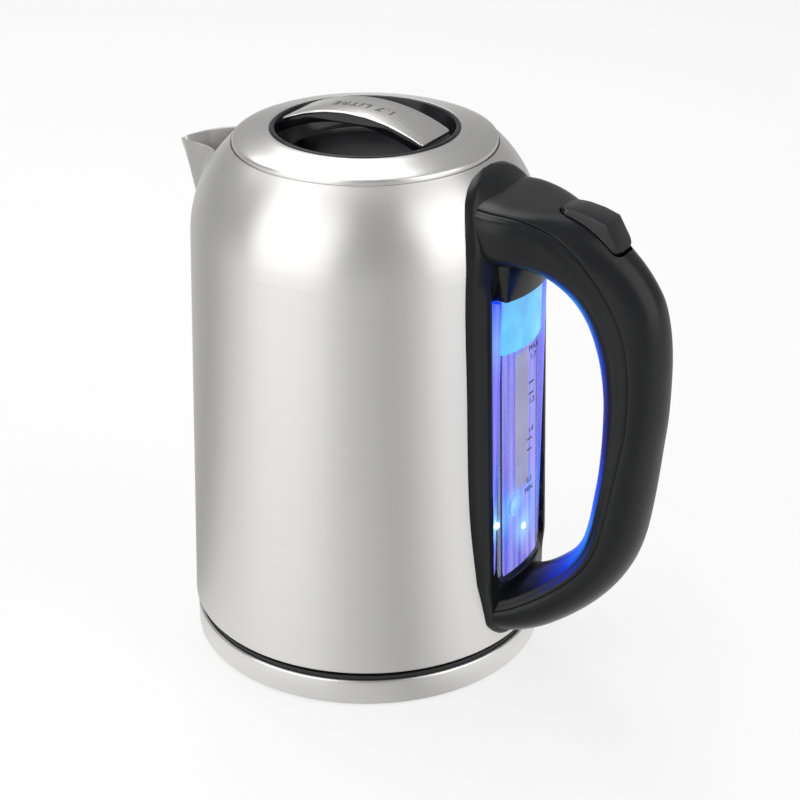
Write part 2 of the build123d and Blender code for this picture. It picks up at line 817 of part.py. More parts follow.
with BuildPart() as power_button:
    with BuildSketch(slope_plane.offset(-4)):
        SlotOverall(button_length, button_width)
    extrude(amount=12)
    with BuildSketch(Plane(origin=slope_plane.origin, x_dir=slope_plane.x_dir, z_dir=(0, -1, 0))):
        with BuildLine():
            Polyline(*button_profile, close=True)
        make_face()
    extrude(amount=button_width, both=True, mode=Mode.INTERSECT)
    with BuildSketch(pivot_plane):
        Circle(3.0)
        with Locations((0, 2.5)):
            Rectangle(6.0, 5.0)
        with Locations((0, -2.9)):
            Rectangle(2.4, 6.4)
    extrude(amount=2.5, both=True)
    with BuildSketch(pivot_plane):
        Circle(pin_radius + pin_clearance)
    extrude(amount=10, both=True, mode=Mode.SUBTRACT)
power_button.part.label = "power_button"
export_step(power_button.part, "parts/power_button.step")

with BuildPart() as button_pin:
    with BuildSketch(pivot_plane):
        Circle(pin_radius)
    extrude(amount=8.4, both=True)
button_pin.part.label = "button_pin"
export_step(button_pin.part, "parts/button_pin.step")

with BuildPart() as trip_lever:
    with BuildSketch(pivot_plane):
        with Locations((0, -lever_drop)):
            Circle(2.8)
        with Locations((0, -lever_drop + 1.6)):
            Rectangle(6.4, 3.2)
        with Locations((2.45, -lever_drop + 4.2), (-2.45, -lever_drop + 4.2)):
            Rectangle(1.5, 5.2)
    extrude(amount=2.5, both=True)
    with BuildSketch(pivot_plane):
        with Locations((0, -lever_drop)):
            Circle(pin_radius + pin_clearance)
    extrude(amount=10, both=True, mode=Mode.SUBTRACT)
trip_lever.part.label = "trip_lever"
export_step(trip_lever.part, "parts/trip_lever.step")

with BuildPart() as lever_pin:
    with BuildSketch(pivot_plane):
        with Locations((0, -lever_drop)):
            Circle(pin_radius)
    extrude(amount=8.4, both=True)
lever_pin.part.label = "lever_pin"
export_step(lever_pin.part, "parts/lever_pin.step")

with BuildPart() as switch_cradle:
    with BuildSketch(pivot_plane.offset(7.0)):
        with Locations((0, -6.4)):
            RectangleRounded(8.4, 16.8, 2)
    extrude(amount=1.4)
    mirror(about=Plane.XZ)
    with BuildSketch(pivot_plane.offset(-7.0)):
        with Locations((0, -14.1)):
            Rectangle(5.0, 1.4)
    extrude(amount=14)
    with BuildSketch(pivot_plane):
        with Locations((0, 0), (0, -lever_drop)):
            Circle(pin_radius + 0.02)
    extrude(amount=10, both=True, mode=Mode.SUBTRACT)
switch_cradle.part.label = "switch_cradle"
export_step(switch_cradle.part, "parts/switch_cradle.step")

# ---------------------------------------------------------------- steam path and wiring
with BuildPart() as steam_duct:
    with BuildSketch(Plane.YZ.offset(66)):
        with Locations((0, 202)):
            Circle(4.1)
            Circle(3.1, mode=Mode.SUBTRACT)
    extrude(amount=14)
steam_duct.part.label = "steam_duct"
export_step(steam_duct.part, "parts/steam_duct.step")

with BuildPart() as steam_thermostat:
    with BuildSketch(Plane.YZ.offset(80.2)):
        with Locations((0, 202)):
            Circle(7.0)
    extrude(amount=3.5)
    with BuildSketch(Plane.YZ.offset(83.7)):
        with Locations((0, 202)):
            Circle(5.6)
    extrude(amount=1.0)
steam_thermostat.part.label = "steam_thermostat"
export_step(steam_thermostat.part, "parts/steam_thermostat.step")

loom_side = 6.5
loom_radius = 1.7
loom_route = [(22, 40), (50, 35), (84, 35.5), (107, 51), (117.5, 76), (122.5, 108), (123.0, 140),
              (118.0, 166), (107.0, 183)]

with BuildPart() as wiring_loom:
    with BuildLine():
        FilletPolyline(*[(x, loom_side, z) for x, z in loom_route], radius=30)
    with BuildSketch(Plane(origin=(22, loom_side, 40), z_dir=(28, 0, -5))):
        Circle(loom_radius)
    sweep()
wiring_loom.part.label = "wiring_loom"
export_step(wiring_loom.part, "parts/wiring_loom.step")

# ---------------------------------------------------------------- lid
cover_edge = (lid_radius, 224.4)
cover_inner = (bowl_rim_radius + 0.1, 228.6)
cover_wall = 0.8

with BuildPart() as lid_cover:
    with BuildSketch(Plane.XZ):
        with BuildLine():
            Polyline(
                cover_inner,
                (cover_inner[0], cover_inner[1] - 2.4),
                (cover_inner[0] + cover_wall, cover_inner[1] - 2.4),
                (cover_inner[0] + cover_wall, cover_inner[1] - cover_wall - 0.1),
            )
            ThreePointArc(
                (cover_inner[0] + cover_wall, cover_inner[1] - cover_wall - 0.1),
                (46.6, 226.7),
                (cover_edge[0] - cover_wall, cover_edge[1] - 0.6),
            )
            Polyline(
                (cover_edge[0] - cover_wall, cover_edge[1] - 0.6),
                (cover_edge[0] - cover_wall, 221.4),
                (cover_edge[0], 221.4),
                cover_edge,
                (cover_edge[0] - 0.6, cover_edge[1] + 0.55),
            )
            ThreePointArc((cover_edge[0] - 0.6, cover_edge[1] + 0.55), (46.4, 227.5), cover_inner)
        make_face()
    revolve(axis=Axis.Z)
lid_cover.part.label = "lid_cover"
export_step(lid_cover.part, "parts/lid_cover.step")

with BuildPart() as lid_bowl:
    with BuildSketch(Plane.XZ):
        with BuildLine():
            Polyline(
                (0, bowl_floor),
                (30.5, bowl_floor),
                (32.5, bowl_floor + 1.2),
                (36.6, bowl_rim_top - 0.6),
                (37.0, bowl_rim_top),
                (bowl_rim_radius - 0.4, bowl_rim_top),
                (bowl_rim_radius, bowl_rim_top - 0.4),
                (bowl_rim_radius, 222.6),
                (52.7, 222.6),
                (52.7, 221.0),
                (36.0, 221.0),
                (33.5, bowl_floor - 1.8),
                (0, bowl_floor - 1.8),
                close=True,
            )
        make_face()
    revolve(axis=Axis.Z)
lid_bowl.part.label = "lid_bowl"
export_step(lid_bowl.part, "parts/lid_bowl.step")

bridge_rise = bridge_apex - bridge_foot
bridge_curve = (bridge_half_span ** 2 + bridge_rise ** 2) / (2 * bridge_rise)
cap_thickness = 1.2
core_depth = 4.0
core_overhang = 4.0


def bridge_block(outer_curve, inner_curve, width):
    """An arched bar over the bowl between two curves about the bridge's centre."""
    centre_height = bridge_apex - bridge_curve
    with BuildPart() as block:
        with BuildSketch(Plane.XZ.offset(-width / 2)):
            with Locations((0, centre_height)):
                Circle(outer_curve)
                Circle(inner_curve, mode=Mode.SUBTRACT)
            with Locations((0, bridge_foot + 6)):
                Rectangle(2 * bridge_half_span + 8, 26, mode=Mode.INTERSECT)
        extrude(amount=width)
    return block.part


with BuildPart() as lid_bridge_cap:
    add(bridge_block(bridge_curve, bridge_curve - cap_thickness, bridge_width))
    with BuildSketch(Plane.XY.offset(220)):
        Circle(bridge_half_span + 0.5)
    extrude(amount=30, mode=Mode.INTERSECT)
lid_bridge_cap.part.label = "lid_bridge_cap"
export_step(lid_bridge_cap.part, "parts/lid_bridge_cap.step")

with BuildPart() as lid_bridge_core:
    add(bridge_block(bridge_curve - cap_thickness - 0.02, bridge_curve - cap_thickness - core_depth, 20.0))
    with BuildSketch(Plane.XY.offset(218)):
        Circle(bridge_half_span + core_overhang)
    extrude(amount=30, mode=Mode.INTERSECT)
    add(lid_bowl.part, mode=Mode.SUBTRACT)
lid_bridge_core.part.label = "lid_bridge_core"
export_step(lid_bridge_core.part, "parts/lid_bridge_core.step")

with BuildPart() as lid_skirt:
    add(ring(skirt_radius_lid - 2, skirt_radius_lid, lid_low + 1.1, 220.9))
    add(ring(skirt_radius_lid - 2, 53.4, 219.9, 220.9))
    add(ring(skirt_radius_lid, 50.6, 211.0, 212.0))
    add(ring(skirt_radius_lid, 50.6, 215.2, 216.2))
lid_skirt.part.label = "lid_skirt"
export_step(lid_skirt.part, "parts/lid_skirt.step")

with BuildPart() as lid_gasket:
    add(ring(skirt_radius_lid + 0.05, 51.6, 212.1, 215.1))
    fillet(lid_gasket.edges().filter_by(GeomType.CIRCLE).sort_by(SortBy.RADIUS)[-2:], 0.8)
lid_gasket.part.label = "lid_gasket"
export_step(lid_gasket.part, "parts/lid_gasket.step")

lid_screw_circle = 30.0
with BuildPart() as lid_inner_plate:
    add(ring(0, skirt_radius_lid, lid_low, lid_low + 1.0))
    with BuildSketch(Plane.XY.offset(lid_low)):
        with PolarLocations(40, 12):
            SlotOverall(8, 2, rotation=90)
        with PolarLocations(lid_screw_circle, 3, start_angle=90):
            Circle(1.5)
    extrude(amount=1.0, mode=Mode.SUBTRACT)
lid_inner_plate.part.label = "lid_inner_plate"
export_step(lid_inner_plate.part, "parts/lid_inner_plate.step")

with BuildPart() as lid_posts:
    with BuildSketch(Plane.XY.offset(lid_low + 1.05)):
        with PolarLocations(lid_screw_circle, 3, start_angle=90):
            Circle(3.2)
            Circle(1.35, mode=Mode.SUBTRACT)
    extrude(amount=bowl_floor - 1.8 - lid_low - 1.1)
lid_posts.part.label = "lid_posts"
export_step(lid_posts.part, "parts/lid_posts.step")

with BuildPart() as lid_screws:
    with BuildSketch(Plane.XY.offset(lid_low - 1.2)):
        with PolarLocations(lid_screw_circle, 3, start_angle=90):
            Circle(2.8)
    extrude(amount=1.2)
    with BuildSketch(Plane.XY.offset(lid_low)):
        with PolarLocations(lid_screw_circle, 3, start_angle=90):
            Circle(1.3)
    extrude(amount=8)
lid_screws.part.label = "lid_screws"
export_step(lid_screws.part, "parts/lid_screws.step")
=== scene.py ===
"""Finished model of a cordless electric kettle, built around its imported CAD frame.

Laid out as an add-on: each group of pieces is one operator, and main() calls them in order.
Metres, +Z up, +X towards the handle.
"""
from math import acos, cos, hypot, pi, radians, sin, sqrt

import bpy
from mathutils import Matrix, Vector


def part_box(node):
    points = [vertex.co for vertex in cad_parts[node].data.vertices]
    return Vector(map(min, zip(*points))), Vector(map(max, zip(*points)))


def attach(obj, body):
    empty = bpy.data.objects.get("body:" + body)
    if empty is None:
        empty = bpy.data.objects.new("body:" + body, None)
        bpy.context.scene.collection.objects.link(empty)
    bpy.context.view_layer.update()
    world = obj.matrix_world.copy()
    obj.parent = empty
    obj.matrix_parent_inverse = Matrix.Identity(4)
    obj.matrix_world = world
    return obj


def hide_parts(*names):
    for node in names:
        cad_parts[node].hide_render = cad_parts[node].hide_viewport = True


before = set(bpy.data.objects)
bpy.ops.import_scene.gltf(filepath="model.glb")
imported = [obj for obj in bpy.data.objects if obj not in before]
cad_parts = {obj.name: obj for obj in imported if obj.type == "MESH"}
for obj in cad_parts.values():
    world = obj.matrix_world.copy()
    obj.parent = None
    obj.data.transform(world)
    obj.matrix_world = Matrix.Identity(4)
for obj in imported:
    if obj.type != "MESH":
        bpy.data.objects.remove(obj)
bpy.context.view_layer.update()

bl_info = {
    "name": "Cordless Kettle",
    "version": (1, 0, 0),
    "blender": (4, 5, 0),
    "location": "3D View > Sidebar > Kettle",
    "description": "Builds the finished pieces of a cordless electric kettle around its CAD frame",
    "category": "Add Mesh",
}

MM = 0.001
MERGE = 1e-6

# ---------------------------------------------------------------- sizes shared with the frame
SIDE_LOW = (76.9, 16.8)
SIDE_HIGH = (71.9, 186.0)
SHOULDER_CENTRE = (20.82, 184.48)
SHOULDER_CURVE = 51.1
BUTTON_CENTRE = (103.9, 206.2)
BUTTON_SLOPE = radians(28.7)


def corner(node, axis, side=1):
    """One face of a CAD node's box along an axis, in millimetres. Side 0 is the low one."""
    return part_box(node)[side][axis] / MM


# ---------------------------------------------------------------- settings
def length(name, default, low, high, description):
    """A length that the user may change, in metres."""
    return bpy.props.FloatProperty(
        name=name, description=description, default=default, min=low, max=high, unit="LENGTH", precision=4
    )


def colour(name, default, description):
    """A colour that the user may change."""
    return bpy.props.FloatVectorProperty(
        name=name, description=description, default=default, min=0, max=1, size=3, subtype="COLOR"
    )


class KettleSizes(bpy.types.PropertyGroup):
    """Sizes of the finished pieces that a user would change."""
    seam_gap: length("Handle seam", 0.0001, 0.0, 0.002, "Gap between the two handle shells")
    seam_band: length("Seam band", 0.0048, 0.001, 0.01, "Width of the band beside the handle's seam")
    band_depth: length("Band depth", 0.0004, 0.0, 0.002, "How far the band beside the seam is set in")
    shell_wall: length("Handle wall", 0.0024, 0.001, 0.004, "Wall of the handle shells")
    spout_wall: length("Spout wall", 0.0009, 0.0005, 0.002, "Thickness of the spout's steel")
    spout_blend: length("Spout blend", 0.006, 0.001, 0.012, "Size of the soft corner from spout to body")
    lid_edge: length("Lid edge", 0.0004, 0.0, 0.001, "Rounding of the lid's edges")
    ring_edge: length("Base ring edge", 0.0005, 0.0, 0.002, "Rounding of the base ring's edges")
    cap_edge: length("Bridge edge", 0.00045, 0.0, 0.001, "Bevel round the bridge's steel cap")
    letter_height: length("Bridge lettering", 0.0062, 0.002, 0.01, "Height of the engraved lettering")
    button_edge: length("Button edge", 0.0007, 0.0, 0.002, "Bevel round the button")


class KettleColours(bpy.types.PropertyGroup):
    """Colours of the finishes that a user would change."""
    steel: colour("Steel", (0.74, 0.735, 0.715), "Brushed stainless steel")
    black: colour("Black", (0.0075, 0.0078, 0.009), "Satin black of the handle")
    gloss: colour("Gloss black", (0.006, 0.006, 0.008), "Gloss black of the bowl and button")
    light: colour("Light", (0.0, 0.05, 1.0), "Blue light beside the gauge")
    gauge: colour("Gauge", (0.14, 0.72, 1.0), "Lit block at the top of the gauge")
    floor: colour("Floor", (0.9, 0.9, 0.9), "Plain pale floor")


# ---------------------------------------------------------------- modelling helpers
def deselect():
    bpy.ops.object.select_all(action="DESELECT")


def named(name):
    """Names the object just added and its mesh, and returns it."""
    piece = bpy.context.active_object
    piece.name = name
    piece.data.name = name
    return piece


def pick(*pieces):
    """Selects these objects alone, the last one active."""
    deselect()
    for piece in pieces:
        piece.select_set(True)
    bpy.context.view_layer.objects.active = pieces[-1]


def settle(piece):
    """Applies the object's place, so that it sits at the origin."""
    pick(piece)
    bpy.ops.object.transform_apply(location=True, rotation=True, scale=True)


def modify(piece, kind, **values):
    """Adds a modifier with these values and applies it."""
    pick(piece)
    bpy.ops.object.modifier_add(type=kind)
    modifier = piece.modifiers[-1]
    for key, value in values.items():
        setattr(modifier, key, value)
    bpy.ops.object.modifier_apply(modifier=modifier.name)


def bevelled(piece, width, segments=3, angle=30):
    """Rounds the edges sharper than an angle."""
    modify(
        piece, "BEVEL", width=width, segments=segments, limit_method="ANGLE",
        angle_limit=radians(angle), use_clamp_overlap=True,
    )


def cut(piece, tool, operation="DIFFERENCE"):
    """Cuts a piece with a closed tool, which is then removed."""
    modify(piece, "BOOLEAN", operation=operation, object=tool, solver="EXACT")
    bpy.data.objects.remove(tool)


def smooth(piece, angle=32):
    """Shades smooth, but for the edges sharper than an angle."""
    pick(piece)
    bpy.ops.object.shade_smooth_by_angle(angle=radians(angle))


def edit(piece, whole=True):
    """Opens a piece in edit mode, all of it selected or none."""
    pick(piece)
    bpy.ops.object.mode_set(mode="EDIT")
    bpy.ops.mesh.select_all(action="SELECT" if whole else "DESELECT")


def flip(piece):
    """Turns a sheet's faces to its other side."""
    edit(piece)
    bpy.ops.mesh.flip_normals()
    bpy.ops.object.mode_set(mode="OBJECT")


def rounded(piece, width, segments, angle, shade):
    """Rounds the sharp edges of a piece, then shades it smooth."""
    bevelled(piece, width, segments, angle)
    smooth(piece, shade)


def tidy_mesh():
    """In edit mode: merges what coincides, drops loose edges and turns the faces outwards."""
    bpy.ops.mesh.select_all(action="SELECT")
    bpy.ops.mesh.remove_doubles(threshold=MERGE)
    bpy.ops.mesh.delete_loose(use_verts=True, use_edges=True, use_faces=False)
    bpy.ops.mesh.normals_make_consistent(inside=False)


def draw_line(name, points):
    """Starts a piece as a line through points (across, up), in millimetres, and stays in edit mode."""
    deselect()
    bpy.ops.mesh.primitive_plane_add(size=MM)
    piece = named(name)
    bpy.ops.object.mode_set(mode="EDIT")
    bpy.ops.mesh.select_mode(type="VERT")
    bpy.ops.mesh.select_all(action="SELECT")
    bpy.ops.mesh.merge(type="CENTER")
    bpy.ops.transform.translate(value=(points[0][0] * MM, 0, points[0][1] * MM))
    for start, end in zip(points, points[1:]):
        step = ((end[0] - start[0]) * MM, 0, (end[1] - start[1]) * MM)
        bpy.ops.mesh.extrude_vertices_move(TRANSFORM_OT_translate={"value": step})
    return piece


def turn_out(piece):
    """Flips a closed piece whose faces all point inwards."""
    piece.data.calc_loop_triangles()
    points = piece.data.vertices
    volume = 0.0
    for triangle in piece.data.loop_triangles:
        a, b, c = (points[i].co for i in triangle.vertices)
        volume += a.dot(b.cross(c))
    if volume < 0:
        flip(piece)


def outline(name, profile):
    """Draws a closed profile and leaves it selected in edit mode."""
    piece = draw_line(name, profile + [profile[0]])
    bpy.ops.mesh.select_all(action="SELECT")
    bpy.ops.mesh.remove_doubles(threshold=MERGE)
    bpy.ops.mesh.select_all(action="SELECT")
    return piece


def spun(name, profile, steps):
    """A closed profile (radius, height) in millimetres, spun about the Z axis."""
    piece = outline(name, profile)
    bpy.ops.mesh.spin(steps=steps, angle=2 * pi, center=(0, 0, 0), axis=(0, 0, 1))
    tidy_mesh()
    bpy.ops.object.mode_set(mode="OBJECT")
    turn_out(piece)
    return piece


def body_core():
    """The room inside the steel body's wall, as a tool that trims what would stand in it."""
    heights = [12.0, 186.0] + [186.0 + 3.6 * step for step in range(1, 11)]
    profile = [(0, 12.0)] + [(side_radius(z) - 0.3, z) for z in heights] + [(0, 222.0)]
    return spun("body_core", profile, 160)


def prism(name, profile, low, high):
    """A closed profile (x, z) in millimetres, given a width from low to high along Y."""
    piece = outline(name, profile)
    bpy.ops.mesh.edge_face_add()
    bpy.ops.transform.translate(value=(0, low * MM, 0))
    bpy.ops.mesh.extrude_region_move(TRANSFORM_OT_translate={"value": (0, (high - low) * MM, 0)})
    tidy_mesh()
    bpy.ops.object.mode_set(mode="OBJECT")
    return piece


def block(name, low, high):
    """A block between two corners, in millimetres."""
    deselect()
    size = [(b - a) * MM for a, b in zip(low, high)]
    middle = [(a + b) / 2 * MM for a, b in zip(low, high)]
    bpy.ops.mesh.primitive_cube_add(size=1, location=middle, scale=size)
    piece = named(name)
    settle(piece)
    return piece


def bevel_edges(piece, chosen, width, segments):
    """Rounds the edges whose two ends pass a test."""
    pick(piece)
    bpy.ops.object.mode_set(mode="EDIT")
    bpy.ops.mesh.select_mode(type="EDGE")
    bpy.ops.mesh.select_all(action="DESELECT")
    bpy.ops.object.mode_set(mode="OBJECT")
    for edge in piece.data.edges:
        edge.select = chosen(*(piece.data.vertices[i].co for i in edge.vertices))
    bpy.ops.object.mode_set(mode="EDIT")
    bpy.ops.mesh.bevel(offset=width * MM, segments=segments, affect="EDGES")
    bpy.ops.object.mode_set(mode="OBJECT")


def bevel_upright(piece, width, segments, front_only=False):
    """Rounds a block's upright edges, or only those on its +X side."""
    middle = sum(v.co.x for v in piece.data.vertices) / len(piece.data.vertices)

    def upright(a, b):
        return abs(a.z - b.z) > 4 * hypot(a.x - b.x, a.y - b.y) and (a.x > middle or not front_only)

    bevel_edges(piece, upright, width, segments)


def formed_sheet(name, rows):
    """A grid whose points are moved to rows of places, in millimetres. For forms that no primitive gives."""
    deselect()
    bpy.ops.mesh.primitive_grid_add(x_subdivisions=len(rows[0]) - 1, y_subdivisions=len(rows) - 1, size=1)
    piece = named(name)
    places = [value * MM for row in rows for place in row for value in place]
    piece.data.vertices.foreach_set("co", places)
    piece.data.update()
    return piece


def ride(piece, body, slot, material, *nodes):
    """Gives a finished piece its finish and its body, and hides the CAD nodes that it stands for."""
    piece.data.materials.clear()
    piece.data.materials.append(material)
    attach(piece, body)
    if nodes:
        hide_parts(*nodes)


def blended(values, position):
    """A smooth curve through evenly spaced values, numbers or tuples, at a position from 0."""
    index = max(0, min(len(values) - 2, int(position)))
    part = position - index
    near = [values[max(0, min(len(values) - 1, index + k))] for k in (-1, 0, 1, 2)]
    return tuple(
        0.5 * (2 * b + (c - a) * part + (2 * a - 5 * b + 4 * c - d) * part ** 2
               + (3 * b - a - 3 * c + d) * part ** 3)
        for a, b, c, d in zip(*near)
    )


def between(table, x):
    """Straight interpolation in a table of (x, value)."""
    for (x0, v0), (x1, v1) in zip(table, table[1:]):
        if x <= x1:
            return v0 + (v1 - v0) * max(0.0, (x - x0)) / (x1 - x0)
    return table[-1][1]


def curved(table, x):
    """Smooth interpolation in a table of (x, value)."""
    for index, ((x0, _), (x1, _)) in enumerate(zip(table, table[1:])):
        if x <= x1 or index == len(table) - 2:
            part = max(0.0, min(1.0, (x - x0) / (x1 - x0)))
            return blended([(value,) for _, value in table], index + part)[0]


def eased(low, high, x):
    """A smooth step from 0 at low to 1 at high."""
    part = max(0.0, min(1.0, (x - low) / (high - low)))
    return part * part * (3 - 2 * part)


def side_radius(z):
    """Outer radius of the steel body at a height, in millimetres."""
    if z <= SIDE_HIGH[1]:
        part = (z - SIDE_LOW[1]) / (SIDE_HIGH[1] - SIDE_LOW[1])
        return SIDE_LOW[0] + (SIDE_HIGH[0] - SIDE_LOW[0]) * part
    return SHOULDER_CENTRE[0] + sqrt(SHOULDER_CURVE ** 2 - (z - SHOULDER_CENTRE[1]) ** 2)


# ---------------------------------------------------------------- shader node groups
def new_group(name, inputs, outputs):
    """A shader node group with float or vector inputs and float outputs."""
    group = bpy.data.node_groups.new(name, "ShaderNodeTree")
    for label, kind, default in inputs:
        socket = group.interface.new_socket(name=label, in_out="INPUT", socket_type=kind)
        if default is not None:
            socket.default_value = default
    for label in outputs:
        group.interface.new_socket(name=label, in_out="OUTPUT", socket_type="NodeSocketFloat")
    return group, group.nodes.new("NodeGroupInput"), group.nodes.new("NodeGroupOutput")


def feed(tree, socket, value):
    """Sets a socket to a number or colour, or links it to another socket."""
    if isinstance(value, bpy.types.NodeSocket):
        tree.links.new(value, socket)
    elif value is not None:
        socket.default_value = value


def math_node(tree, operation, a, b=None):
    """A math node fed by sockets or numbers."""
    node = tree.nodes.new("ShaderNodeMath")
    node.operation = operation
    feed(tree, node.inputs[0], a)
    feed(tree, node.inputs[1], b)
    return node.outputs[0]


def vector_node(tree, operation, a, b=None):
    """A vector math node fed by sockets or vectors. Gives all its outputs."""
    node = tree.nodes.new("ShaderNodeVectorMath")
    node.operation = operation
    feed(tree, node.inputs[0], a)
    feed(tree, node.inputs[1], b)
    return node.outputs


def split_node(tree, vector):
    """The X, Y and Z of a vector."""
    node = tree.nodes.new("ShaderNodeSeparateXYZ")
    tree.links.new(vector, node.inputs[0])
    return node.outputs


def spread(tree, value, low, high, socket=None, start=0.0, end=1.0):
    """Maps a value from start..end to low..high, held at its ends, and feeds it to a socket."""
    node = tree.nodes.new("ShaderNodeMapRange")
    for label, number in (("From Min", start), ("From Max", end), ("To Min", low), ("To Max", high)):
        node.inputs[label].default_value = number
    tree.links.new(value, node.inputs["Value"])
    if socket is not None:
        tree.links.new(node.outputs[0], socket)
    return node.outputs[0]


def mixed_colour(tree, share, first, second, blend="MIX"):
    """Mixes two colours, each a socket or a colour, by a share."""
    node = tree.nodes.new("ShaderNodeMix")
    node.data_type = "RGBA"
    node.blend_type = blend
    feed(tree, node.inputs[0], share)
    for socket, shade in ((node.inputs[6], first), (node.inputs[7], second)):
        feed(tree, socket, (*shade, 1) if isinstance(shade, tuple) else shade)
    return node.outputs[2]


def colour_ramp(tree, value, stops):
    """A colour for a value from 0 to 1, from stops of (value, colour)."""
    ramp = tree.nodes.new("ShaderNodeValToRGB")
    elements = ramp.color_ramp.elements
    for element, (position, shade) in zip(list(elements), (stops[0], stops[-1])):
        element.position = position
        element.color = (*shade, 1)
    for position, shade in stops[1:-1]:
        elements.new(position).color = (*shade, 1)
    tree.links.new(value, ramp.inputs[0])
    return ramp.outputs[0]


def noise_node(tree, vector, scale, detail=2.0, roughness=0.5):
    node = tree.nodes.new("ShaderNodeTexNoise")
    node.inputs["Detail"].default_value = detail
    node.inputs["Roughness"].default_value = roughness
    feed(tree, node.inputs["Scale"], scale)
    tree.links.new(vector, node.inputs["Vector"])
    return node.outputs["Fac"]


def brushed_group():
    """Fine lines left by a brush: rings about the Z axis, or straight lines along X and Y."""
    group, given, out = new_group(
        "Brushed Lines",
        [("Vector", "NodeSocketVector", None), ("Lines", "NodeSocketFloat", 2600.0),
         ("Along", "NodeSocketFloat", 14.0), ("Round", "NodeSocketFloat", 1.0)],
        ["Fine", "Broad"],
    )
    x, y, z = split_node(group, given.outputs["Vector"])
    reach = math_node(group, "SQRT", math_node(
        group, "ADD", math_node(group, "MULTIPLY", x, x), math_node(group, "MULTIPLY", y, y)))
    across = math_node(group, "SUBTRACT", z, math_node(group, "MULTIPLY", reach, given.outputs["Round"]))
    for label, share in (("Fine", 1.0), ("Broad", 0.3)):
        joined = group.nodes.new("ShaderNodeCombineXYZ")
        along = math_node(group, "MULTIPLY", given.outputs["Along"], share)
        dense = math_node(group, "MULTIPLY", given.outputs["Lines"], share)
        for socket, value, factor in zip(joined.inputs, (x, y, across), (along, along, dense)):
            group.links.new(math_node(group, "MULTIPLY", value, factor), socket)
        group.links.new(noise_node(group, joined.outputs[0], 1.0, 3.0, 0.6), out.inputs[label])
    return group


def wear_group():
    """Soft patches from handling and wiping, with a few fine specks."""
    group, given, out = new_group(
        "Handling Wear",
        [("Vector", "NodeSocketVector", None), ("Patch Scale", "NodeSocketFloat", 30.0),
         ("Speck Scale", "NodeSocketFloat", 900.0)],
        ["Patches", "Specks"],
    )
    patches = noise_node(group, given.outputs["Vector"], given.outputs["Patch Scale"], 4.0, 0.55)
    spread(group, patches, 0.0, 1.0, out.inputs["Patches"], start=0.35, end=0.68)
    specks = noise_node(group, given.outputs["Vector"], given.outputs["Speck Scale"], 1.0)
    spread(group, specks, 0.0, 1.0, out.inputs["Specks"], start=0.70, end=0.80)
    return group


def grain_group():
    """The fine leathery grain of a moulding tool's spark finish."""
    group, given, out = new_group(
        "Mould Grain",
        [("Vector", "NodeSocketVector", None), ("Scale", "NodeSocketFloat", 2200.0)],
        ["Height", "Tone"],
    )
    pits = group.nodes.new("ShaderNodeTexVoronoi")
    group.links.new(given.outputs["Vector"], pits.inputs["Vector"])
    group.links.new(given.outputs["Scale"], pits.inputs["Scale"])
    swell = noise_node(group, given.outputs["Vector"], math_node(
        group, "MULTIPLY", given.outputs["Scale"], 0.35), 2.0)
    group.links.new(math_node(group, "ADD", pits.outputs["Distance"], swell), out.inputs["Height"])
    group.links.new(swell, out.inputs["Tone"])
    return group


GROUPS = {}


def use_group(tree, maker, vector, **values):
    """Places a shared group in a material, building it once."""
    if maker not in GROUPS:
        GROUPS[maker] = maker()
    node = tree.nodes.new("ShaderNodeGroup")
    node.node_tree = GROUPS[maker]
    tree.links.new(vector, node.inputs["Vector"])
    for label, value in values.items():
        node.inputs[label.replace("_", " ")].default_value = value
    return node


# ---------------------------------------------------------------- materials
def new_material(name):
    """A material with its tree, shader and object coordinates."""
    material = bpy.data.materials.new(name)
    material.use_nodes = True
    tree = material.node_tree
    shader = tree.nodes["Principled BSDF"]
    place = tree.nodes.new("ShaderNodeTexCoord").outputs["Object"]
    return material, tree, shader, place


def tint(tree, value, dark, light, socket):
    """Mixes two colours by a mask, and feeds them to a socket."""
    tree.links.new(mixed_colour(tree, value, dark, light), socket)


def bump(tree, height, distance, strength, shader):
    """Raises the surface by a height, in metres."""
    node = tree.nodes.new("ShaderNodeBump")
    node.inputs["Distance"].default_value = distance
    node.inputs["Strength"].default_value = strength
    tree.links.new(height, node.inputs["Height"])
    tree.links.new(node.outputs[0], shader.inputs["Normal"])


def turned(tree, place, angles):
    """Object coordinates turned by angles in degrees."""
    node = tree.nodes.new("ShaderNodeMapping")
    node.inputs["Rotation"].default_value = tuple(radians(a) for a in angles)
    tree.links.new(place, node.inputs["Vector"])
    return node.outputs[0]


def scaled(base, factor):
    """A colour made lighter or darker."""
    return tuple(min(1.0, c * factor) for c in base)


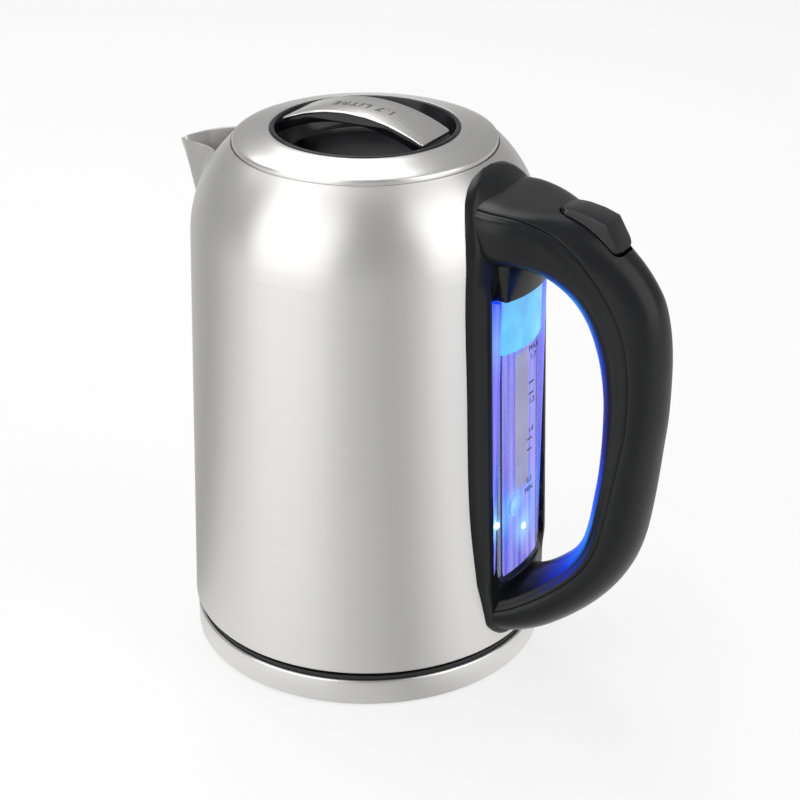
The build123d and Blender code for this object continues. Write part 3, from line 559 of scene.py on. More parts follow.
def brushed_steel(name, base, rough=(0.34, 0.46), lines=5200.0, along=9.0, circular=True, stretch=0.72,
                  turn=None):
    """Stainless steel with brushed lines, faint wiping marks and a stretched highlight."""
    material, tree, shader, place = new_material(name)
    if turn:
        place = turned(tree, place, turn)
    brushed = use_group(tree, brushed_group, place, Lines=lines, Along=along, Round=1.0 if circular else 0.0)
    wear = use_group(tree, wear_group, place, Patch_Scale=22.0, Speck_Scale=700.0)
    both = math_node(tree, "ADD", math_node(tree, "MULTIPLY", brushed.outputs["Fine"], 0.55),
                     math_node(tree, "MULTIPLY", brushed.outputs["Broad"], 0.45))
    tint(tree, spread(tree, both, -0.2, 1.2), scaled(base, 0.93), scaled(base, 1.06),
         shader.inputs["Base Color"])
    mixed = math_node(tree, "ADD", math_node(tree, "MULTIPLY", both, 0.8),
                      math_node(tree, "MULTIPLY", wear.outputs["Patches"], 0.2))
    spread(tree, mixed, rough[0], rough[1], shader.inputs["Roughness"])
    shader.inputs["Metallic"].default_value = 1.0
    shader.inputs["Anisotropic"].default_value = stretch
    shader.inputs["Anisotropic Rotation"].default_value = 0.25
    if circular:
        tangent = tree.nodes.new("ShaderNodeTangent")
        tangent.direction_type = "RADIAL"
        tangent.axis = "Z"
        tree.links.new(tangent.outputs[0], shader.inputs["Tangent"])
    bump(tree, brushed.outputs["Fine"], 0.00002, 0.15, shader)
    return material


def plain_metal(name, base, rough=(0.25, 0.42), scale=60.0):
    """A plated or drawn metal with soft patches and scratches."""
    material, tree, shader, place = new_material(name)
    wear = use_group(tree, wear_group, place, Patch_Scale=scale, Speck_Scale=1500.0)
    tint(tree, wear.outputs["Patches"], scaled(base, 0.82), base, shader.inputs["Base Color"])
    spread(tree, wear.outputs["Patches"], rough[0], rough[1], shader.inputs["Roughness"])
    shader.inputs["Metallic"].default_value = 1.0
    bump(tree, wear.outputs["Specks"], 0.00002, 0.3, shader)
    return material


def moulded(name, base, rough=(0.32, 0.42), grain=2200.0, depth=0.00003, strength=0.25, gloss=0.5):
    """Moulded plastic or rubber with a fine grain and marks from handling."""
    material, tree, shader, place = new_material(name)
    texture = use_group(tree, grain_group, place, Scale=grain)
    wear = use_group(tree, wear_group, place, Patch_Scale=34.0, Speck_Scale=1300.0)
    mixed = math_node(tree, "ADD", math_node(tree, "MULTIPLY", texture.outputs["Tone"], 0.4),
                      math_node(tree, "MULTIPLY", wear.outputs["Patches"], 0.6))
    tint(tree, mixed, scaled(base, 0.85), scaled(base, 1.2), shader.inputs["Base Color"])
    spread(tree, mixed, rough[0], rough[1], shader.inputs["Roughness"])
    shader.inputs["Specular IOR Level"].default_value = gloss
    bump(tree, texture.outputs["Height"], depth, strength, shader)
    return material


# the gauge's light painted on the inner cover: the point it is painted from, and its colour over height from
# 40 to 190 mm
PAINTED_LIGHT_FROM = (0.076, 0.0, 0.112)
PAINTED_LIGHT_STOPS = [(0.0, (0, 0.002, 0.06)), (0.12, (0.0, 0.03, 0.7)), (0.24, (0.0, 0.2, 1.0)),
             (0.38, (0.0, 0.06, 0.9)), (0.52, (0, 0.005, 0.2)), (0.68, (0, 0.01, 0.35)),
             (0.80, (0.0, 0.10, 1.0)), (0.92, (0.02, 0.25, 1.0)), (1.0, (0, 0.05, 0.8))]


def painted_gauge_light_black(name, base):
    """Satin black with the gauge's light painted on as emission, on the faces turned towards the gauge."""
    material = moulded(name, base, (0.27, 0.36), 2600.0, 0.00002, 0.2, gloss=0.3)
    tree = material.node_tree
    shader = tree.nodes["Principled BSDF"]
    source = tree.nodes.new("ShaderNodeTexCoord").outputs
    towards = vector_node(tree, "SUBTRACT", PAINTED_LIGHT_FROM, source["Object"])[0]
    facing = vector_node(tree, "DOT_PRODUCT", vector_node(tree, "NORMALIZE", towards)[0], source["Normal"])
    turned_to = spread(tree, facing["Value"], 0.0, 1.0, start=0.12, end=0.62)
    turned_to.node.interpolation_type = "SMOOTHSTEP"
    x, _, z = split_node(tree, source["Object"])
    reach = spread(tree, x, 0.0, 1.0, start=0.088, end=0.104)
    light = colour_ramp(tree, spread(tree, z, 0.0, 1.0, start=0.04, end=0.19), PAINTED_LIGHT_STOPS)
    # painted light: the gauge's colour by height, on faces turned towards the gauge and far enough out along
    # X
    share = math_node(tree, "MULTIPLY", turned_to, reach)
    tree.links.new(mixed_colour(tree, share, (0, 0, 0), light), shader.inputs["Emission Color"])
    shader.inputs["Emission Strength"].default_value = 1.0
    return material


def clear(name, base, rough=(0.02, 0.08), alpha=0.3):
    """Clear plastic or silicone that lets the light behind it through."""
    material, tree, shader, place = new_material(name)
    wear = use_group(tree, wear_group, place, Patch_Scale=40.0, Speck_Scale=900.0)
    tint(tree, wear.outputs["Patches"], base, scaled(base, 1.1), shader.inputs["Base Color"])
    spread(tree, wear.outputs["Patches"], rough[0], rough[1], shader.inputs["Roughness"])
    spread(tree, wear.outputs["Patches"], alpha * 0.85, alpha * 1.15, shader.inputs["Alpha"])
    shader.inputs["IOR"].default_value = 1.5
    return material


# where light is painted round the lamps and the lower port on the gauge, and how far, in millimetres
LAMPS = ((74.6, -19.5, 75.0, 15.0), (76.6, 1.0, 65.5, 13.0), (76.6, -7.5, 79.5, 11.0))


def lamp_halo(tree, place):
    """A mask for the light painted round the lamps: 1 at the lamps, fading out round them."""
    total = None
    for x, y, z, reach in LAMPS:
        away = vector_node(tree, "DISTANCE", place, (x * MM, y * MM, z * MM))["Value"]
        part = math_node(tree, "POWER", spread(tree, away, 0.0, 1.0, start=reach * MM, end=0.0), 2.0)
        total = part if total is None else math_node(tree, "MAXIMUM", total, part)
    return total


# stretch of the painted streaks of light, and the painted colours of the streaks, the halos round the lamps
# and the dim flecks
STREAKS = (120.0, 330.0, 5.0)
STREAK_COLOUR = (0.42, 0.40, 0.98)
LAMP_COLOUR = (0.35, 0.85, 1.0)
DIM_COLOUR = (0.45, 0.5, 0.8)


def glowing(name, stops, strength, low, high, base=(0.02, 0.03, 0.08), flecks=0.25, streaks=0.0):
    """Plastic that glows, its light painted to change with height, between two heights in millimetres."""
    material, tree, shader, place = new_material(name)
    height = spread(tree, split_node(tree, place)["Z"], 0.0, 1.0, start=low * MM, end=high * MM)
    wear = use_group(tree, wear_group, place, Patch_Scale=120.0, Speck_Scale=1100.0)
    # the glow is painted dimmer in flecks where the wear patches fall
    lit = mixed_colour(tree, math_node(tree, "MULTIPLY", wear.outputs["Patches"], flecks),
                       colour_ramp(tree, height, stops), DIM_COLOUR, "MULTIPLY")
    # painted streaks of light, then painted halos round the lamps
    if streaks:
        stretched = tree.nodes.new("ShaderNodeMapping")
        stretched.inputs["Scale"].default_value = STREAKS
        tree.links.new(place, stretched.inputs["Vector"])
        lines = spread(tree, noise_node(tree, stretched.outputs[0], 1.0), 0.0, 1.0, start=0.36, end=0.64)
        lit = mixed_colour(tree, math_node(tree, "MULTIPLY", lines, streaks), lit, STREAK_COLOUR)
        lit = mixed_colour(tree, lamp_halo(tree, place), lit, LAMP_COLOUR)
    tree.links.new(lit, shader.inputs["Emission Color"])
    shader.inputs["Emission Strength"].default_value = strength
    tint(tree, wear.outputs["Patches"], base, scaled(base, 1.5), shader.inputs["Base Color"])
    spread(tree, wear.outputs["Patches"], 0.2, 0.35, shader.inputs["Roughness"])
    return material


FINISHES = {}


def build_finishes(colours):
    """Every finish, by name. The CAD nodes' finishes are under their slots' names."""
    steel = tuple(colours.steel)
    black = tuple(colours.black)
    gloss = tuple(colours.gloss)
    light = tuple(colours.light)
    FINISHES.update({
        "brushed_steel": brushed_steel("brushed_steel_finish", steel),
        "spout_steel": brushed_steel("spout_steel", steel, rough=(0.30, 0.40), stretch=0.4),
        "lid_steel": brushed_steel("lid_steel", scaled(steel, 1.04), rough=(0.27, 0.38), lines=4200.0,
                                   stretch=0.6),
        "cap_steel": brushed_steel("cap_steel", steel, rough=(0.22, 0.34), lines=3000.0, circular=False,
                                   stretch=0.0, turn=(90, 0, 0)),
        "ring_steel": brushed_steel("ring_steel", steel, rough=(0.25, 0.36), lines=4200.0),
        "plated_steel": plain_metal("plated_steel_finish", (0.62, 0.63, 0.65)),
        "aluminium_plate": plain_metal("aluminium_finish", (0.72, 0.72, 0.71), (0.4, 0.55)),
        "brass_contact": plain_metal("brass_finish", (0.78, 0.52, 0.2), (0.2, 0.35), 200.0),
        "satin_black": moulded("satin_black_finish", black, (0.27, 0.36), 2600.0, 0.00002, 0.2, gloss=0.3),
        "gloss_black": moulded("gloss_black_finish", gloss, (0.16, 0.24), 1500.0, 0.00001, 0.1, gloss=0.35),
        "button_black": moulded("button_black", gloss, (0.10, 0.16), 1500.0, 0.00001, 0.1, gloss=0.6),
        # the inner cover's satin black, with the gauge's blue light painted on as emission
        "painted_gauge_light_black": painted_gauge_light_black("painted_gauge_light_black", black),
        "black_plastic": moulded("black_plastic_finish", (0.014, 0.014, 0.015), (0.42, 0.55), 1900.0),
        "white_plastic": moulded("white_plastic_finish", (0.72, 0.72, 0.7), (0.35, 0.5), 1900.0),
        "rubber_grey": moulded("rubber_grey_finish", (0.12, 0.12, 0.12), (0.7, 0.85), 1500.0, 0.00005, 0.4),
        "rubber_black": moulded("rubber_black_finish", (0.02, 0.02, 0.021), (0.65, 0.8), 1500.0, 0.00005,
                                0.4),
        "clear_silicone": clear("clear_silicone_finish", (0.75, 0.85, 0.95), (0.25, 0.4), 0.55),
        "clear_plastic": clear("clear_plastic_finish", (0.30, 0.32, 0.75), (0.03, 0.08), 0.10),
        "mark_ink": moulded("mark_ink_finish", (0.01, 0.012, 0.03), (0.5, 0.6), 3000.0),
        "letter_grey": plain_metal("letter_grey", (0.2, 0.2, 0.2), (0.4, 0.55)),
        "wire_cover": moulded("wire_cover_finish", (0.55, 0.53, 0.48), (0.6, 0.75), 1400.0, 0.00006, 0.4),
        "blue_light": glowing(
            "blue_light_finish",
            [(0.0, (0.12, 0.10, 0.55)), (0.14, (0.10, 0.12, 0.75)), (0.24, (0.0, 0.12, 1.0)),
             (0.38, (0.0, 0.05, 0.9)), (0.5, (0.10, 0.08, 0.72)),
             (0.74, (0.14, 0.12, 0.80)), (0.86, (0.13, 0.32, 1.0)), (1.0, light)],
            1.1, 46, 175, base=(0.02, 0.03, 0.2), streaks=0.5),
        "gauge_glow": glowing(
            "gauge_glow",
            [(0.0, (0.16, 0.13, 0.70)), (0.12, (0.14, 0.15, 0.80)), (0.24, (0.02, 0.20, 1.0)),
             (0.36, (0.03, 0.22, 1.0)), (0.46, (0.11, 0.09, 0.62)), (0.80, (0.13, 0.10, 0.62)),
             (1.0, (0.12, 0.14, 0.8))],
            1.0, 46, 150, streaks=0.75),
        "gauge_top": glowing(
            "gauge_top",
            [(0.0, tuple(colours.gauge)), (0.6, (0.16, 0.70, 1.0)), (1.0, (0.20, 0.66, 1.0))],
            1.0, 150, 175, flecks=0.5),
        "led_core": glowing("led_core", [(0.0, (0.3, 0.85, 1.0)), (1.0, (0.2, 0.7, 1.0))], 9.0, 60, 80,
                            flecks=0.0),
        "gauge_strip": moulded("gauge_strip", (0.80, 0.77, 0.84), (0.3, 0.4), 900.0),
    })


# ---------------------------------------------------------------- operators
class Builds:
    """What every operator here shares."""
    bl_options = {"REGISTER", "UNDO"}

    def execute(self, context):
        self.build(context.scene.kettle_sizes, FINISHES)
        return {"FINISHED"}


class KETTLE_OT_finishes(bpy.types.Operator):
    """Make the finishes and give each CAD node its own"""
    bl_idname = "kettle.finishes"
    bl_label = "Finishes"

    def execute(self, context):
        build_finishes(context.scene.kettle_colours)
        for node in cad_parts.values():
            for holder in node.material_slots:
                if holder.material.name not in FINISHES:
                    raise RuntimeError("no finish for the slot " + holder.material.name)
                holder.material = FINISHES[holder.material.name]
        return {"FINISHED"}


class KETTLE_OT_foot_bead(Builds, bpy.types.Operator):
    """Roll the steel round the body's lower edge"""
    bl_idname = "kettle.foot_bead"
    bl_label = "Body bead"

    def build(self, sizes, finishes):
        low = corner("jug_body", 2, 0)
        edge = corner("jug_body", 0)
        bead = spun("body_bead", [
            (edge - 1.9, low + 0.35), (edge - 1.1, low - 0.05), (edge - 0.4, low + 0.1),
            (edge - 0.02, low + 0.7), (edge - 0.02, low + 1.3), (edge - 0.35, low + 1.75),
            (edge - 1.2, low + 1.6), (edge - 1.9, low + 1.1),
        ], 192)
        rounded(bead, 0.0002, 2, 20, 50)
        ride(bead, "jug", "brushed_steel", finishes["ring_steel"])


# the spout: height, reach of its keel, half width where it meets the body
SPOUT = [
    (144.0, 72.4, 0.6), (147.0, 73.0, 1.6), (155.0, 75.4, 3.8), (165.0, 78.6, 6.2), (175.0, 82.2, 8.8),
    (185.6, 85.6, 11.4), (190.0, 86.9, 12.5), (195.7, 88.3, 13.9), (202.7, 90.4, 15.4), (207.0, 92.0, 16.2),
    (214.0, 94.6, 17.4),
]
# how the spout's side runs from its keel (0, 0) to the body (1, 1), seen from above
SPOUT_SIDE = [(0.0, 0.0), (0.06, 0.008), (0.14, 0.04), (0.52, 0.31), (0.66, 0.50), (0.86, 0.82), (1.0, 1.0),
              (2.0, 2.2), (9.0, 12.0)]
# height of the rim over the distance from the middle plane
SPOUT_RIM = [(0.0, 207.0), (4.0, 208.3), (8.5, 209.6), (11.0, 210.8), (14.0, 211.8), (16.5, 212.2),
             (40.0, 212.4)]
SPOUT_FOOT = 145.0


def spout_reach(y, z, blend):
    """How far the spout stands from the axis at a distance from the middle plane and a height."""
    body = sqrt(side_radius(z) ** 2 - y * y)
    keel = between([(row[0], row[1]) for row in SPOUT], z)
    half = between([(row[0], row[2]) for row in SPOUT], z)
    rise = keel - side_radius(z)
    share = between(SPOUT_SIDE, abs(y) / half)
    side = side_radius(z) + (rise if share < 1 else max(rise, 1.5)) * (1 - share)
    side -= (side_radius(z) - body) * (1 - eased(1.0, 5.0, rise))
    size = min(blend, 0.3 + 1.5 * max(rise, 0.0))
    near = max(size - abs(body - side), 0.0) / size
    if side < body - size:
        return body - 0.55 * eased(0.0, 1.2, body - size - side) + 0.06
    return max(body, side) + near * near * size * 0.25 + 0.06


class KETTLE_OT_spout(Builds, bpy.types.Operator):
    """Shape the spout, which runs out of the body in a soft corner"""
    bl_idname = "kettle.spout"
    bl_label = "Spout"

    def build(self, sizes, finishes):
        rows = []
        steps, across = 90, 36
        for row in range(steps + 1):
            line = []
            for column in range(-across, across + 1):
                share = column / across
                rough_z = SPOUT_FOOT + (210.0 - SPOUT_FOOT) * row / steps
                half = between([(r[0], r[2]) for r in SPOUT], rough_z)
                span = half + 10.0
                y = span * (0.55 * share + 0.45 * share ** 3)
                z = SPOUT_FOOT + (between(SPOUT_RIM, abs(y)) - SPOUT_FOOT) * row / steps
                line.append((-spout_reach(y, z, sizes.spout_blend / MM), y, z))
            rows.append(line)
        spout = formed_sheet("spout_shell", rows)
        flip(spout)
        modify(spout, "SOLIDIFY", thickness=sizes.spout_wall, offset=-1, use_even_offset=True)
        rounded(spout, 0.0003, 3, 50, 40)
        ride(spout, "jug", "brushed_steel", finishes["spout_steel"], "spout")


class KETTLE_OT_lid(Builds, bpy.types.Operator):
    """Spin the lid's steel cover and its black bowl"""
    bl_idname = "kettle.lid"
    bl_label = "Lid"

    def build(self, sizes, finishes):
        edge = corner("lid_cover", 0)
        top = corner("lid_cover", 2)
        rim = corner("lid_bowl", 2)
        outer = [(edge, 221.4), (edge, 224.0), (edge - 0.25, 224.75), (edge - 1.0, 225.25)]
        arc = [(50.6, 226.1), (48.0, 226.75), (45.4, 227.35), (43.2, 227.8), (41.9, 228.15), (40.6, 228.45)]
        inner = [(39.2, top), (38.6, top - 0.1), (38.6, 226.2), (39.5, 226.2), (39.6, 227.2), (43.0, 226.8),
                 (48.0, 225.7), (edge - 1.4, 224.0), (edge - 1.2, 221.4)]
        cover = spun("lid_steel_cover", outer + arc + inner, 176)
        rounded(cover, sizes.lid_edge * 0.5, 2, 25, 24)
        ride(cover, "lid", "brushed_steel", finishes["lid_steel"], "lid_cover")
        bowl = spun("lid_black_bowl", [
            (0, 217.0), (28.0, 217.0), (30.6, 217.5), (32.2, 218.9), (33.4, 221.2), (36.3, 227.9),
            (36.6, rim - 0.15),
            (37.0, rim), (38.0, rim), (38.45, rim - 0.3), (38.5, rim - 0.9), (38.5, 222.7), (52.7, 222.7),
            (52.7, 221.0), (36.0, 221.0), (33.5, 215.3), (0, 215.2),
        ], 176)
        rounded(bowl, sizes.lid_edge * 0.5, 2, 28, 30)
        ride(bowl, "lid", "gloss_black", finishes["gloss_black"], "lid_bowl")


BRIDGE_HALF = 33.0
BRIDGE_APEX = 237.0
BRIDGE_CURVE = 75.45


def arch(curve, half, steps=28):
    """Points along the bridge's arch, from one end to the other."""
    reach = acos(max(-1.0, min(1.0, half / curve)))
    turns = [reach + (pi - 2 * reach) * step / steps for step in range(steps + 1)]
    return [(curve * cos(turn), BRIDGE_APEX - BRIDGE_CURVE + curve * sin(turn)) for turn in turns]


class KETTLE_OT_bridge(Builds, bpy.types.Operator):
    """Arch the grip bridge over the bowl: a steel cap on a black core, with plain lettering"""
    bl_idname = "kettle.bridge"
    bl_label = "Lid bridge"

    def build(self, sizes, finishes):
        upper, under = arch(BRIDGE_CURVE, BRIDGE_HALF), arch(BRIDGE_CURVE - 1.2, BRIDGE_HALF)
        cap = prism("bridge_cap", upper + under[::-1], -11, 11)
        bevel_cap_corners(cap, 1.2)
        rounded(cap, sizes.cap_edge, 3, 40, 30)
        ride(cap, "lid", "brushed_steel", finishes["cap_steel"], "lid_bridge_cap")
        core = prism("bridge_core", arch(BRIDGE_CURVE - 1.22, 35.0) + arch(BRIDGE_CURVE - 5.2, 35.6)[::-1],
                     -10, 10)
        rounded(core, 0.0005, 2, 40, 30)
        ride(core, "lid", "gloss_black", finishes["gloss_black"], "lid_bridge_core")
        words = lettering("bridge_words", "1.7 LITRE", sizes.letter_height, 0.00012, 1.18)
        wrap_on_arch(words)
        ride(words, "lid", "brushed_steel", finishes["letter_grey"])


def bevel_cap_corners(piece, width):
    """Rounds the four corners of the bridge's cap, seen from above."""
    reach = max(abs(v.co.x) for v in piece.data.vertices)

    def at_corner(a, b):
        at_end = min(abs(a.x), abs(b.x)) > reach - MM
        return at_end and abs(a.y - b.y) < MERGE and abs(a.z - b.z) > 0.3 * MM

    bevel_edges(piece, at_corner, width, 5)


def lettering(name, words, height, depth, spacing):
    """Plain block lettering lying flat at the origin, as a mesh."""
    deselect()
    bpy.ops.object.text_add()
    text = bpy.context.active_object
    text.data.body = words
    text.data.size = height
    text.data.align_x = "CENTER"
    text.data.align_y = "CENTER"
    text.data.extrude = depth
    text.data.space_character = spacing
    text.data.resolution_u = 3
    pick(text)
    bpy.ops.object.convert(target="MESH")
    piece = named(name)
    bpy.ops.object.mode_set(mode="EDIT")
    bpy.ops.mesh.select_all(action="SELECT")
    bpy.ops.mesh.remove_doubles(threshold=1e-6)
    bpy.ops.mesh.normals_make_consistent(inside=False)
    bpy.ops.object.mode_set(mode="OBJECT")
    return piece


def wrap_on_arch(piece):
    """Bends flat lettering round the bridge's arch, read from the +Y side."""
    for vertex in piece.data.vertices:
        along, across, up = vertex.co
        turn = pi / 2 + along / (BRIDGE_CURVE * MM)
        curve = BRIDGE_CURVE * MM + up + 0.00001
        vertex.co = (curve * cos(turn), -across, (BRIDGE_APEX - BRIDGE_CURVE) * MM + curve * sin(turn))
    piece.data.update()


# the handle: outermost point, innermost point, half width, turn to the seam, and squareness of the outer half
HANDLE = [
    (60.0, 214.6, 62.0, 184.0, 24.5, 44.0, 0.50), (69.0, 214.2, 70.0, 185.4, 26.0, 43.0, 0.50),
    (78.0, 213.2, 77.6, 186.0, 24.2, 43.0, 0.50), (86.0, 212.5, 84.2, 185.0, 21.0, 51.0, 0.60),
    (93.5, 211.8, 89.6, 182.8, 18.7, 57.5, 0.84), (100.4, 210.2, 94.3, 179.5, 16.9, 65.0, 0.92),
    (106.8, 207.2, 98.2, 175.8, 15.4, 71.0, 0.92), (112.8, 203.0, 101.4, 171.8, 14.4, 76.0, 0.92),
    (118.4, 198.4, 104.0, 167.6, 13.9, 78.5, 0.92), (123.8, 193.4, 106.0, 163.2, 13.6, 80.8, 0.92),
    (128.9, 187.2, 107.8, 158.3, 13.5, 82.0, 0.92), (133.2, 179.8, 109.4, 152.8, 13.4, 83.0, 0.92),
    (136.1, 169.0, 110.7, 147.0, 13.4, 83.7, 0.92), (137.5, 157.0, 111.7, 140.8, 13.4, 83.7, 0.92),
    (137.8, 144.0, 112.35, 134.0, 13.4, 84.3, 0.92), (137.5, 130.0, 112.5, 125.0, 13.4, 85.4, 0.92),
    (136.3, 117.0, 112.4, 115.5, 13.4, 90.0, 0.92), (135.0, 103.0, 111.7, 104.0, 13.4, 95.0, 0.92),
    (133.4, 89.0, 110.2, 92.0, 13.4, 98.6, 0.92), (131.1, 75.5, 108.5, 80.6, 13.4, 101.5, 0.92),
    (127.5, 64.3, 105.8, 70.6, 13.6, 102.7, 0.92), (121.6, 53.1, 101.0, 62.6, 14.1, 103.3, 0.92),
    (113.2, 42.4, 94.8, 56.3, 15.2, 103.7, 0.92), (103.2, 33.0, 88.2, 50.8, 16.9, 104.5, 0.92),
    (92.4, 25.3, 82.6, 47.0, 19.0, 105.0, 0.92), (82.0, 21.2, 77.4, 44.0, 21.3, 104.0, 0.92),
    (72.0, 20.0, 71.0, 42.4, 22.8, 100.0, 0.92), (63.0, 19.8, 63.0, 41.8, 23.4, 99.0, 0.92),
]
OVAL = 0.92


def handle_point(station, turn, set_in=0.0):
    """A point on the handle's section at a turn from its outermost side, set in by a depth."""
    x0, z0, x1, z1, half, _, square = station
    depth = hypot(x0 - x1, z0 - z1)
    ux, uz = (x0 - x1) / depth, (z0 - z1) / depth
    c, s = cos(turn), sin(turn)
    power = square if c > 0 else OVAL
    across = (abs(c) ** power) * (1 if c >= 0 else -1) * (depth / 2 - set_in)
    y = -(abs(s) ** power) * (1 if s >= 0 else -1) * (half - set_in)
    return ((x0 + x1) / 2 + ux * across, y, (z0 + z1) / 2 + uz * across)


def handle_rows(sizes, outer, steps=132, around=40):
    """Rows of places for one of the two handle shells."""
    rows = []
    band, depth = sizes.seam_band / MM, sizes.band_depth / MM
    for step in range(steps + 1):
        station = blended(HANDLE, (len(HANDLE) - 1) * step / steps)
        seam = radians(station[5])
        size = (hypot(station[0] - station[2], station[1] - station[3]) / 2 + station[4]) / 2
        gap = sizes.seam_gap / MM / size
        line = []
        for column in range(around + 1):
            share = column / around
            if outer:
                turn = (seam - gap) * (2 * share - 1)
                near = (1 - abs(2 * share - 1)) * (seam - gap) * size
                set_in = 0.45 * (1 - eased(0.0, 0.9, near))
            else:
                spread_share = 0.5 - 0.5 * cos(pi * share)
                turn = seam + gap + (2 * pi - 2 * (seam + gap)) * (0.45 * share + 0.55 * spread_share)
                near = min(turn - seam - gap, 2 * pi - seam - gap - turn) * size
                edge = 0.35 * (1 - eased(0.0, 0.7, near))
                set_in = edge + depth * (1 - eased(band - 0.8, band + 0.6, near))
            line.append(handle_point(station, turn, set_in))
        rows.append(line)
    return rows


class KETTLE_OT_handle(Builds, bpy.types.Operator):
    """Shape the handle's outer shell and inner cover, with the seam between them"""
    bl_idname = "kettle.handle"
    bl_label = "Handle"

    def build(self, sizes, finishes):
        for name, outer, node in (
            ("handle_outer", True, "handle_outer_shell"), ("handle_inner", False, "handle_inner_cover"),
        ):
            shell = formed_sheet(name, handle_rows(sizes, outer))
            face_away(shell)
            modify(shell, "SOLIDIFY", thickness=sizes.shell_wall, offset=-1)
            if outer:
                cut(shell, button_well("button_well", 0.6, -9, 16, heel=0.8))
            smooth(shell, 38)
            # the inner cover's finish has the gauge's blue light painted on as emission
            ride(shell, "jug", "satin_black", finishes["satin_black" if outer else "painted_gauge_light_black"], node)


def face_away(piece):
    """Turns a sheet's faces away from the middle line of the handle."""
    face = piece.data.polygons[len(piece.data.polygons) // 2]
    station = blended(HANDLE, (len(HANDLE) - 1) / 2)
    core = Vector(((station[0] + station[2]) / 2 * MM, 0, (station[1] + station[3]) / 2 * MM))
    if face.normal.dot(face.center - core) < 0:
        pick(piece)
        bpy.ops.object.mode_set(mode="EDIT")
        bpy.ops.mesh.select_all(action="SELECT")
        bpy.ops.mesh.flip_normals()
        bpy.ops.object.mode_set(mode="OBJECT")


def button_well(name, grown, low, high, heel=0.0):
    """A round-cornered block from low to high above the button's slope, longer at the heel."""
    half_length, half_width = 14.5 + grown + heel / 2, 6.5 + grown
    piece = block(name, (-half_length, -half_width, low), (half_length, half_width, high))
    bevel_upright(piece, 3.3 + grown, 8)
    pick(piece)
    piece.rotation_euler = (0, BUTTON_SLOPE, 0)
    piece.location = ((BUTTON_CENTRE[0] + heel / 2 * cos(BUTTON_SLOPE)) * MM, 0,
                      (BUTTON_CENTRE[1] - heel / 2 * sin(BUTTON_SLOPE)) * MM)
    settle(piece)
    return piece


class KETTLE_OT_button(Builds, bpy.types.Operator):
    """Shape the rocker button, level on top with a steep heel"""
    bl_idname = "kettle.button"
    bl_label = "Button"

    def build(self, sizes, finishes):
        button = prism("rocker_button", [
            (88.0, 212.9), (91.4, 213.35), (98.0, 213.3), (104.5, 212.3), (110.6, 210.4), (117.6, 198.6),
            (112.0, 194.5), (100.0, 199.5), (89.0, 205.5),
        ], -9, 9)
        cut(button, button_well("button_outline", 0.0, -12, 18), "INTERSECT")
        rounded(button, sizes.button_edge, 3, 32, 30)
        ride(button, "power_button", "gloss_black", finishes["button_black"], "power_button")


# the back plate's half width over height
PLATE = [
    (19.6, 11.6), (21.2, 16.5), (24.0, 20.2), (28.0, 23.4), (36.0, 25.1), (50.0, 28.2), (78.0, 30.8),
    (100.0, 31.6), (140.0, 31.6), (170.0, 31.8), (186.0, 31.4), (196.0, 30.2), (204.0, 27.9), (210.0, 25.0),
    (214.5, 21.7), (218.0, 17.4), (220.2, 12.6), (221.4, 7.6), (221.9, 3.0),
]


def plate_rise(y, z, half):
    """How far the back plate stands off the body."""
    edge = half - abs(y)
    full = 1.9 + 0.9 * eased(188.0, 200.0, z)
    rise = 0.35 + (full - 0.35) * sqrt(max(0.0, 1 - (1 - min(1.0, edge / 3.2)) ** 2))
    ends = min(eased(42.0, 54.0, z), 1 - eased(174.0, 186.0, z))
    ridge = ends * 0.9 * (1 - eased(25.0, 28.6, abs(y))) * eased(21.4, 22.6, abs(y))
    channel = ends * (rise - 0.15) * (1 - eased(20.7, 22.0, abs(y)))
    return rise + ridge - channel


class KETTLE_OT_plate(Builds, bpy.types.Operator):
    """Shape the handle's back plate, with a raised lip beside the gauge"""
    bl_idname = "kettle.plate"
    bl_label = "Back plate"

    def build(self, sizes, finishes):
        rows = []
        steps, across = 120, 72
        for row in range(steps + 1):
            share = row / steps
            share = 0.5 * share + 0.25 * (1 - cos(pi * share))
            z = PLATE[0][0] + (PLATE[-1][0] - PLATE[0][0]) * share
            half = curved(PLATE, z)
            line = []
            for column in range(across + 1):
                share = 2 * column / across - 1
                y = half * share
                rise = plate_rise(y, z, half)
                end = min(z - PLATE[0][0], PLATE[-1][0] - z)
                rise = 0.35 + (rise - 0.35) * sqrt(max(0.0, 1 - (1 - min(1.0, end / 2.4)) ** 2))
                reach = side_radius(z) + rise
                line.append((sqrt(reach ** 2 - y * y), y, z))
            rows.append(line)
        plate = formed_sheet("handle_plate", rows)
        if plate.data.polygons[len(plate.data.polygons) // 2].normal.x < 0:
            flip(plate)
        modify(plate, "SOLIDIFY", thickness=0.0003, offset=-1)
        smooth(plate, 50)
        ride(plate, "jug", "satin_black", finishes["satin_black"], "handle_back_plate")


